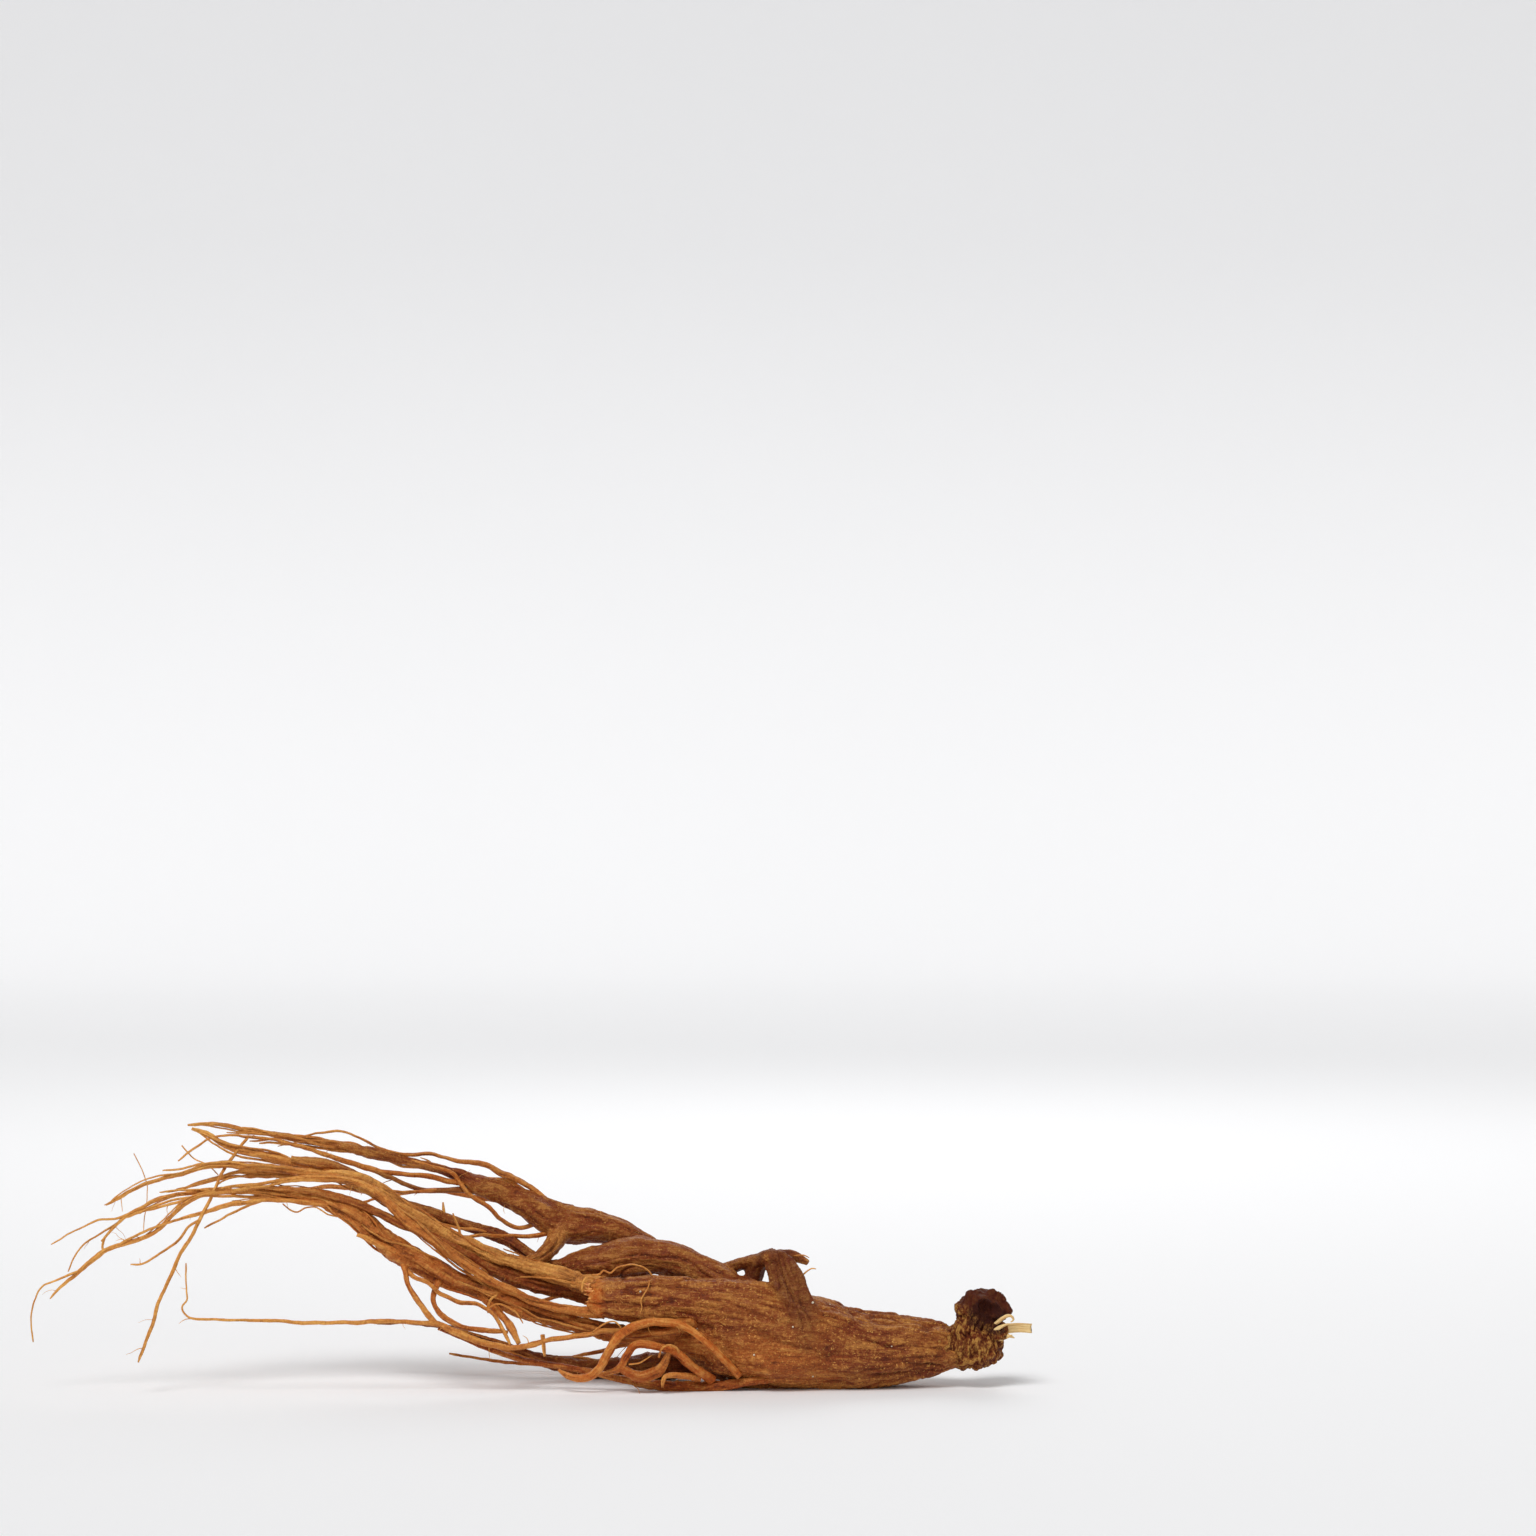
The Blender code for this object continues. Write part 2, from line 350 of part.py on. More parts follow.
def stations(route, gap, seed):
    """Centres and radii along a route, a gap apart, that wander a little as a grown root does."""
    fine = [curved(route, k / CURVE_STEPS) for k in range(CURVE_STEPS * (len(route) - 1) + 1)]
    lengths = [0.0]
    for a, b in zip(fine, fine[1:]):
        lengths.append(lengths[-1] + (b - a).xyz.length)
    count = max(3, round(lengths[-1] / gap))
    made = []
    k = 0
    for n in range(count + 1):
        along = lengths[-1] * n / count
        while k < len(lengths) - 2 and lengths[k + 1] < along:
            k += 1
        share = (along - lengths[k]) / (lengths[k + 1] - lengths[k])
        at = fine[k].lerp(fine[k + 1], share)
        wander = min(WANDER_SHARE * at.w, WANDER_MOST) * min(1.0, along / WANDER_LENGTH)
        lane, depth = WANDER_LANES
        drift = noise.noise_vector(Vector((along / WANDER_LENGTH, lane * seed, depth)))
        made.append((at.xyz + wander * drift, at.w, along))
    return made


def frames(centres):
    """A turning frame for each centre that follows the line without twisting about it."""
    made = []
    side = Vector((0, -1, 0))
    for k, centre in enumerate(centres):
        ahead = centres[min(k + 1, len(centres) - 1)] - centres[max(k - 1, 0)]
        ahead.normalize()
        side = (side - ahead * side.dot(ahead)).normalized()
        made.append((side, ahead.cross(side)))
    return made


def loft(name, rings, into):
    """A closed mesh through rings of points, each ring pushed out of the one before it."""
    bm = bmesh.new()
    bmesh.ops.create_circle(bm, cap_ends=True, segments=len(rings[0]), radius=1)
    bm.faces.ensure_lookup_table()
    end = bm.faces[0]
    for vert, point in zip(end.verts, rings[0]):
        vert.co = point * MM
    start_edges = list(end.edges)
    for ring in rings[1:]:
        end = bmesh.ops.extrude_discrete_faces(bm, faces=[end])["faces"][0]
        for vert, point in zip(end.verts, ring):
            vert.co = point * MM
    bmesh.ops.contextual_create(bm, geom=[edge for edge in start_edges if edge.is_valid])
    bmesh.ops.recalc_face_normals(bm, faces=bm.faces)
    mesh = bpy.data.meshes.new(name)
    bm.to_mesh(mesh)
    bm.free()
    made = bpy.data.objects.new(name, mesh)
    into.objects.link(made)
    return made


def limb(name, route, sides, gap, seed, into):
    """A thick limb: its section is ridged along its length and lumpy."""
    places = stations(route, gap, seed)
    rings = []
    for (centre, radius, along), (side, up) in zip(places, frames([p[0] for p in places])):
        ring = []
        for k in range(sides):
            turn = 2 * math.pi * k / sides
            out = math.cos(turn) * side + math.sin(turn) * up
            ridge = RIDGE_DEPTH * math.cos(RIDGE_COUNT * turn + RIDGE_TWIST * along + seed)
            place = Vector((along / LUMP_LENGTH, 0, LUMP_LANE * seed)) + LUMP_SPREAD * out
            lump = LUMP_DEPTH * noise.noise(place)
            ring.append(centre + out * radius * (1 + ridge + lump))
        rings.append(ring)
    return loft(name, rings, into)


def rootlet(name, route, seed, into):
    """A thin rootlet: a bevelled curve made into a mesh, with its caps welded."""
    thin = route[0][3] < THIN_ROOTLET
    places = stations(route, THIN_GAP if thin else ROOTLET_GAP, seed)
    line = bpy.data.curves.new(name, "CURVE")
    line.dimensions = "3D"
    line.bevel_depth = MM
    line.bevel_resolution = 0 if thin else 1
    line.use_fill_caps = True
    spline = line.splines.new("POLY")
    spline.points.add(len(places) - 1)
    for point, (centre, radius, _) in zip(spline.points, places):
        point.co = (*(centre * MM), 1)
        point.radius = radius
    drawn = bpy.data.objects.new(name + "_line", line)
    bpy.context.scene.collection.objects.link(drawn)
    mesh = bpy.data.meshes.new_from_object(drawn.evaluated_get(bpy.context.evaluated_depsgraph_get()))
    bpy.data.objects.remove(drawn)
    bm = bmesh.new()
    bm.from_mesh(mesh)
    bmesh.ops.remove_doubles(bm, verts=bm.verts, dist=WELD_GAP * MM)
    bmesh.ops.recalc_face_normals(bm, faces=bm.faces)
    bm.to_mesh(mesh)
    bm.free()
    made = bpy.data.objects.new(name, mesh)
    into.objects.link(made)
    return made


def fold(into):
    """The flattened fold, an oval section that stands up from the taproot."""
    rings = []
    for k, (centre, half_width, half_depth) in enumerate(FOLD):
        turn_by = FOLD_TWIST * k
        across = Vector((math.cos(turn_by), -math.sin(turn_by), FOLD_WIDTH_LEAN)).normalized()
        through = Vector((math.sin(turn_by), math.cos(turn_by), FOLD_DEPTH_LEAN)).normalized()
        rings.append([
            Vector(centre)
            + across * half_width * math.cos(2 * math.pi * n / FOLD_SIDES)
            + through * half_depth * math.sin(2 * math.pi * n / FOLD_SIDES)
            for n in range(FOLD_SIDES)
        ])
    return loft("fold", rings, into)


def ball(name, shape, gnarl, into):
    """A stretched ball with a gnarled surface."""
    centre, half_sizes = (Vector(values) for values in shape)
    bm = bmesh.new()
    bmesh.ops.create_uvsphere(bm, u_segments=BALL_SEGMENTS, v_segments=BALL_RINGS, radius=1)
    for vert in bm.verts:
        out = vert.co * half_sizes
        swell = 1 + gnarl * noise.noise((centre + out) / GNARL_LENGTH)
        vert.co = (centre + out * swell) * MM
    mesh = bpy.data.meshes.new(name)
    bm.to_mesh(mesh)
    bm.free()
    made = bpy.data.objects.new(name, mesh)
    into.objects.link(made)
    return made


def strip(name, margin, start_back, into):
    """The stub's flat strip, grown by a margin where it is the cutter of its own socket."""
    run = STUB_END - STUB_START
    ahead = run.normalized()
    up = (Vector((0, 0, 1)) - ahead * ahead.z).normalized()
    through = ahead.cross(up)
    rings = []
    for k in range(STUB_STATIONS):
        share = k / (STUB_STATIONS - 1)
        sag = up * STUB_BEND * math.sin(math.pi * share)
        reach = -start_back if k == 0 else start_back if k == STUB_STATIONS - 1 else 0.0
        centre = STUB_START + run * share + sag + ahead * reach
        high, deep = STUB_HALF_HEIGHT + margin, STUB_HALF_DEPTH + margin
        rings.append([
            centre + up * high * u + through * deep * v
            for u, v in STUB_SECTION
        ])
    return loft(name, rings, into)


def apply_modifiers(thing):
    """Puts the evaluated mesh in place of the modifiers."""
    graph = bpy.context.evaluated_depsgraph_get()
    mesh = bpy.data.meshes.new_from_object(thing.evaluated_get(graph))
    thing.modifiers.clear()
    thing.data = mesh


def boolean(thing, operation, other):
    cut = thing.modifiers.new(operation.lower(), "BOOLEAN")
    cut.operation = operation
    cut.solver = "MANIFOLD"
    cut.object = other
    apply_modifiers(thing)


def sole(into):
    """A block under z = 0 that trims what lies on the surface to small flat spots."""
    bm = bmesh.new()
    bmesh.ops.create_cube(bm, size=1.0)
    size = Vector((SOLE_SIZE, SOLE_SIZE, SOLE_DEPTH)) * MM
    lowered = Vector((0, 0, -SOLE_DEPTH / 2)) * MM
    place = Matrix.Translation(lowered) @ Matrix.Diagonal(size.to_4d())
    bmesh.ops.transform(bm, matrix=place, verts=bm.verts)
    mesh = bpy.data.meshes.new("sole")
    bm.to_mesh(mesh)
    bm.free()
    made = bpy.data.objects.new("sole", mesh)
    into.objects.link(made)
    return made


def centre(things):
    """Moves the meshes so that the origin is under the middle of their box."""
    corners = [Vector(corner) for thing in things for corner in thing.bound_box]
    low = Vector(map(min, *corners))
    high = Vector(map(max, *corners))
    middle = (low + high) / 2
    for thing in things:
        thing.data.transform(Matrix.Translation((-middle.x, -middle.y, -low.z)))


def build():
    clear_scene()
    noise.seed_set(WANDER_SEED)
    parts = collection("ginseng_root")
    limbs = collection("limbs")
    cutters = collection("cutters")

    root = limb("ginseng_root", TAPROOT, TAPROOT_SIDES, TAPROOT_GAP, TAPROOT_SEED, parts)
    for seed, (name, route) in enumerate(LEGS.items(), start=FIRST_LEG_SEED):
        thick = max(point[3] for point in route) > THICK_LEG
        limb(name, route, LEG_SIDES if thick else SLIM_LEG_SIDES, LEG_GAP, seed, limbs)
    for seed, (name, route) in enumerate(ROOTLETS.items(), start=FIRST_ROOTLET_SEED):
        rootlet(name, route, seed, limbs)
    fold(limbs)
    limb("neck", NECK, NECK_SIDES, NECK_GAP, NECK_SEED, limbs)
    for k, shape in enumerate(BUD_SCARS):
        ball(f"bud_scar_{k}", shape, BUD_GNARL, limbs)
    ball("hood", HOOD, HOOD_GNARL, limbs)
    ball("hood_lip", HOOD_LIP, HOOD_GNARL, limbs)
    for thing in list(limbs.objects):
        boolean(root, "UNION", thing)
        bpy.data.objects.remove(thing)
    bpy.data.collections.remove(limbs)

    scoop = ball("scoop", SCOOP, SCOOP_GNARL, cutters)
    socket = strip("socket", SOCKET_GAP, SOCKET_DEEPER, cutters)
    for cutter in (scoop, socket, sole(cutters)):
        boolean(root, "DIFFERENCE", cutter)
        cutter.hide_render = True
        cutter.display_type = "WIRE"

    stub = strip("stem_stub", 0.0, 0.0, parts)
    root.data.materials.clear()
    root.data.materials.append(finish("root skin", ROOT_COLOUR, 0.55))
    stub.data.materials.append(finish("dry straw", STRAW_COLOUR, 0.7))
    centre((root, stub))
    for thing in (root, stub):
        thing.data.shade_smooth()
        thing.data.set_sharp_from_angle(angle=SHARP_ANGLE)


build()
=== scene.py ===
"""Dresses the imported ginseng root: flesh, crown, rootlets, hairs, stem stub and a pale studio.

Run it as a script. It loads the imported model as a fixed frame, models each piece in
millimetres along the routes that the root's limbs follow, and puts it in the frame.
"""

import json
import math
import random

import bmesh
import bpy
import numpy as np
from bpy.props import FloatProperty, FloatVectorProperty, IntProperty, PointerProperty
from mathutils import Matrix, Vector, noise

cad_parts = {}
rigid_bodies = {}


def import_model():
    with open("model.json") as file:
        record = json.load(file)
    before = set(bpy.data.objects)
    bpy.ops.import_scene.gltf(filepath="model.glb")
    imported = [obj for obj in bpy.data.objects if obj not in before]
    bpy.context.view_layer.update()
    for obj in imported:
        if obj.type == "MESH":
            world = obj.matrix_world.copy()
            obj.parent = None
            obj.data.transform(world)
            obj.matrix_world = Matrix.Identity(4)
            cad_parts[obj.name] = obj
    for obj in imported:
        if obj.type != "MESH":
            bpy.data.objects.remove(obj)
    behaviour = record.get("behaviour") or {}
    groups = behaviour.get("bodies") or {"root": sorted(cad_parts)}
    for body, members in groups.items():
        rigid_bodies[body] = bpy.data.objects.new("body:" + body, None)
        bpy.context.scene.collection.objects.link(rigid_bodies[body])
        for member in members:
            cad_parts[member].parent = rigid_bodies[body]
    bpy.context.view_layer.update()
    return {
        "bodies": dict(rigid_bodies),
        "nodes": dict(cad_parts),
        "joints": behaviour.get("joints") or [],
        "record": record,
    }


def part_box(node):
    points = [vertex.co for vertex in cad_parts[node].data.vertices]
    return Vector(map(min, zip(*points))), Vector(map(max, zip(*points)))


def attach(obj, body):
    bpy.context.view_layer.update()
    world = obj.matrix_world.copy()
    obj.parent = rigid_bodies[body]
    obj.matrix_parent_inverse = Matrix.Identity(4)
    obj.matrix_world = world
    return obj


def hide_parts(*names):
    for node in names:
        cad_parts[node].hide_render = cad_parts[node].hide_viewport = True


bl_info = {
    "name": "Dried Ginseng Root",
    "version": (1, 0, 0),
    "blender": (4, 5, 0),
    "location": "View3D > Sidebar > Ginseng",
    "description": "Models the flesh, rootlets, crown and stem stub of a dried ginseng root",
    "category": "Add Mesh",
}

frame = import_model()

MM = 0.001
ROOT_NODE = "ginseng_root"
STUB_NODE = "stem_stub"

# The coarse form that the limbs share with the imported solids
RIDGE_COUNT = 7
RIDGE_DEPTH = 0.045
RIDGE_TWIST = 0.1
LUMP_DEPTH = 0.1
LUMP_LENGTH = 9.0
LUMP_SPREAD = 0.9
LUMP_LANE = 5.3
WANDER_LENGTH = 13.0
WANDER_SHARE = 0.55
WANDER_MOST = 0.5
WANDER_LANES = (3.7, 1.9)
WANDER_SEED = 7
noise.seed_set(WANDER_SEED)
CURVE_STEPS = 8

# Each route is a list of (x, y, z, radius) from where the limb grows out to its tip
TAPROOT = [
    (86.0, 0, 7.8, 3.4), (84.2, 0, 7.6, 3.9), (82.6, 0, 7.6, 4.5), (80.4, 0, 7.7, 5.3),
    (77.6, 0, 7.5, 5.9), (73.6, 0, 7.3, 6.8), (67.6, 0, 7.4, 7.4), (63.6, 0, 7.7, 7.9),
    (57.6, 0, 8.7, 8.9), (53.6, 0, 9.1, 9.3), (47.6, 0.3, 9.4, 9.5), (41.6, 0.6, 10.2, 9.5),
    (37.6, 0.8, 10.8, 8.8), (33.6, 1, 11.4, 7.0), (30.5, 1, 11.8, 4.6), (28.8, 1, 12, 2.2),
]

LEGS = {
    "cut_leg": [
        (64, -1.5, 9.4, 5.0), (57, -3.3, 11.2, 6.2), (50, -3.4, 13.4, 6.4), (43, -3.2, 15.2, 6.1),
        (35.6, -3.2, 16.6, 5.4), (29.6, -3.4, 17.3, 4.8), (23.6, -3.6, 17.6, 4.6),
        (18.6, -4, 17.8, 4.2), (14.2, -4, 18.1, 3.8), (12.0, -3.8, 18.3, 3.0),
    ],
    "low_leg": [
        (60, -2.6, 6.6, 5.0), (52, -3.4, 7.4, 6.0), (45, -3.6, 8.4, 6.0), (41, -3.8, 8.8, 5.2),
        (36.6, -4, 9.2, 4.0), (31.6, -4, 9.4, 3.0), (23.6, -3.5, 10.4, 2.2), (15.6, -3, 11.2, 1.9),
        (7.6, -2.5, 12.9, 1.8), (1.6, -2, 14.6, 1.9), (-4.4, -2, 17, 2.0), (-10.4, -2, 19.6, 2.0),
        (-16.4, -1.5, 21.6, 2.0), (-21.4, -1, 24.1, 2.2), (-26.4, -0.5, 27.2, 2.4), (-30.4, 0, 30, 2.2),
        (-34.4, 0, 33.2, 2.0), (-38.4, 0, 35.2, 1.6), (-42, 0, 37, 1.3), (-47, -0.5, 38.2, 1.0),
        (-52.4, -1, 38.7, 0.9), (-58.4, -1.5, 39.3, 0.72), (-64.4, -2, 39.2, 0.62),
        (-70.4, -2.5, 38.8, 0.55), (-74.6, -3, 37.9, 0.58), (-77.6, -3, 36.6, 0.5),
        (-80.6, -3, 34.8, 0.45), (-83.6, -3, 32.2, 0.4), (-86, -3, 29.4, 0.32),
    ],
    "arched_leg": [
        (49, 1.5, 12.5, 4.6), (44, 2.5, 16.0, 4.2), (38.5, 3.5, 19.4, 3.6), (34.6, 4.5, 21.8, 3.1),
        (31.6, 5.5, 23.6, 2.9), (26.6, 6.5, 25.0, 3.3), (21.6, 7, 25.2, 3.7), (16.6, 7, 24.6, 3.6),
        (11.6, 6.5, 23.8, 3.1), (7.6, 7, 23.4, 2.3), (4.8, 7.5, 23.0, 1.6), (1.6, 8, 23.9, 1.3),
        (-1.4, 8.5, 25.6, 1.3), (-5.4, 9, 28.0, 1.4), (-10.4, 9, 30, 1.4), (-15.4, 8.5, 31.6, 1.25),
        (-20.4, 8, 33.3, 1.4), (-24.6, 7, 35.2, 1.2), (-28.4, 6, 37, 1.0), (-32.6, 5, 39.2, 1.0),
        (-37.6, 4, 42.4, 1.05), (-42.4, 3.5, 44.4, 1.1), (-46.4, 3.5, 45.3, 1.0), (-48.8, 3.5, 45.7, 0.9),
    ],
    "back_leg": [
        (39, 4, 12.5, 4.0), (33.5, 7, 16.5, 3.2), (29, 9, 19.8, 2.7), (25.6, 11.2, 23.8, 2.2),
        (20.6, 13, 27.2, 2.2), (16.6, 14, 29.2, 2.6), (11.6, 14, 30.4, 3.3), (6.6, 14, 30.6, 3.9),
        (2.6, 13.5, 32.2, 3.4), (-2.4, 13, 35.4, 2.7), (-6.4, 13, 37.0, 2.4), (-10.4, 12.5, 38.7, 2.1),
        (-13.6, 12, 40, 1.6), (-16.8, 12, 41.2, 1.2), (-20.8, 11.5, 42.7, 1.0), (-27, 11, 44.5, 1.0),
        (-33, 10, 45.8, 1.2), (-39, 9, 47.3, 0.98), (-45, 8.5, 48.4, 0.9), (-51, 8, 49.4, 0.75),
        (-57, 7.5, 50.7, 0.65), (-63, 7, 51.8, 0.56), (-67, 6.5, 52.0, 0.5), (-70, 6, 51.9, 0.4),
    ],
    "golden_leg": [
        (18, -1, 18.5, 2.6), (11.2, 0, 20.4, 2.1), (6.6, 0.5, 21.6, 1.8), (1.6, 1, 22.9, 1.6),
        (-3.4, 1, 24.5, 1.5), (-8.4, 1, 26.3, 1.5), (-13.4, 1.5, 28.2, 1.4), (-17.4, 2, 29.8, 1.3),
        (-20.8, 2, 31.8, 1.3), (-24.4, 2, 34.2, 1.4), (-27.6, 2, 36.4, 1.5), (-31, 2, 38.8, 1.7),
        (-34.6, 2, 40.6, 1.7), (-38.6, 2, 41.8, 1.5), (-43.6, 2, 42.4, 1.2), (-48.6, 2, 42.6, 1.0),
        (-53.6, 1.5, 42.5, 0.72), (-58.6, 1, 42.7, 0.5), (-62.6, 0.5, 42, 0.43), (-66.6, 0, 41, 0.38),
        (-70.6, -1, 39.7, 0.34), (-73.4, -2, 39.2, 0.28),
    ],
    "cord_leg": [
        (14.5, -4, 15.5, 1.5), (10.6, -4.6, 15.6, 1.05), (5.6, -4.6, 16.1, 0.95), (1.6, -4.4, 17.3, 0.92),
        (-2.4, -4, 18.9, 0.95), (-6.4, -3.6, 20.6, 1.0), (-10.4, -3.2, 22.8, 1.05), (-14.4, -2.8, 25.5, 1.1),
        (-18.4, -2.2, 28.3, 1.15), (-22.4, -1.6, 31.2, 1.1),
        (-25.6, -1, 33.5, 1.1), (-27.8, -0.4, 35.5, 1.0),
        (-30, 0, 37.8, 0.9), (-33, 0, 40, 0.8), (-38, -0.5, 41.6, 0.62), (-43, -1, 42, 0.55),
        (-48, -1.5, 41.8, 0.5), (-53, -2.5, 41, 0.42), (-58, -3.5, 40.7, 0.36), (-62, -4.5, 40.2, 0.32),
    ],
    "shade_leg": [
        (18, 1, 16.5, 2.2), (9, 2, 18.6, 1.8), (2.6, 2, 19.8, 1.8), (-3.4, 1.5, 21.3, 1.6),
        (-7.6, 1, 23, 1.25), (-11.6, 0.5, 25.2, 1.0), (-15.6, 0, 27.6, 0.9), (-20, 0, 30.2, 0.9),
        (-26.4, -0.5, 32.5, 0.9), (-31, -0.5, 34.7, 0.9), (-34.8, -0.5, 36.5, 1.0), (-39, -0.5, 38, 0.95),
        (-44, -1, 39.2, 0.8), (-49, -1.8, 39.8, 0.6), (-54, -2.5, 40.2, 0.48), (-60, -4, 39.4, 0.44),
        (-65.4, -5, 38.8, 0.44), (-69.4, -5.5, 36.8, 0.5),
        (-71.4, -5.5, 34.8, 0.5), (-74.4, -5.5, 31.8, 0.5),
        (-77.4, -5.5, 30.4, 0.6), (-81.4, -5.5, 29, 0.6),
        (-84.8, -5.5, 27.9, 0.6), (-86.8, -5.3, 26.4, 0.68),
        (-89.4, -5, 24.4, 0.58), (-91.4, -5, 22.8, 0.48), (-94, -5, 20.6, 0.38), (-96, -5, 18.2, 0.25),
    ],
    "rear_leg": [
        (48, 3, 7.5, 5.0), (40, 5.5, 6.6, 4.0), (34, 7.5, 5.0, 3.3), (28, 9, 3.2, 2.8),
        (20, 10.5, 2.0, 2.5), (12, 10.5, 1.8, 2.1), (5, 9, 3.2, 1.5), (-2, 7.5, 5.6, 1.1),
        (-9, 6.5, 8.2, 0.8), (-17, 7, 10.6, 0.62), (-25, 9, 11.6, 0.48), (-33, 12, 11, 0.36),
    ],
    "strut": [
        (6, 13, 31.5, 2.2), (4.2, 10.5, 28.4, 1.9), (2.3, 7, 26.2, 1.6), (0, 4, 24.9, 1.35),
        (-2.8, 2, 24.4, 1.1), (-5, 1.2, 25, 0.8),
    ],
    "upper_fork": [
        (-36, 3, 41.6, 1.0), (-42, 4, 43, 1.0), (-48.4, 5, 44, 0.95), (-52.4, 5, 45, 1.0),
        (-56.4, 5, 46.2, 0.95), (-60.4, 5, 47.3, 0.9), (-63.4, 5, 48.7, 0.8), (-66.4, 5, 50.3, 0.75),
        (-69, 5, 51.4, 0.55),
    ],
    "middle_fork": [
        (-39, 1.5, 41.6, 1.0), (-46, 0.5, 43, 0.9), (-52.4, 0, 43.8, 0.82), (-58.4, -0.5, 44.3, 0.78),
        (-62.4, -0.5, 44.3, 0.7), (-66.4, -1, 43.7, 0.62), (-70.4, -1, 42.6, 0.58), (-74.4, -1, 41.6, 0.58),
        (-77.4, -1, 40.7, 0.55), (-80.4, -1, 39.3, 0.5), (-83.4, -1, 37.5, 0.42), (-85.4, -1, 36.5, 0.3),
    ],
    "fold_back": [
        (48.4, -1.2, 26.2, 1.5), (45.6, 2, 24.6, 1.7), (43.8, 4, 20.6, 1.8), (43, 4.4, 16.5, 1.7),
    ],
    "fold_left": [
        (48, -0.6, 26.0, 1.1), (43.4, 3, 24.6, 1.3), (38.6, 6, 22.8, 1.2), (34, 7, 21.2, 1.1),
        (30.5, 8.5, 20.0, 1.1),
    ],
    "fold_tip": [(47.6, -1.4, 26.0, 1.3), (52, -1.5, 26.3, 1.1), (55.2, -1, 24.8, 0.6)],
}

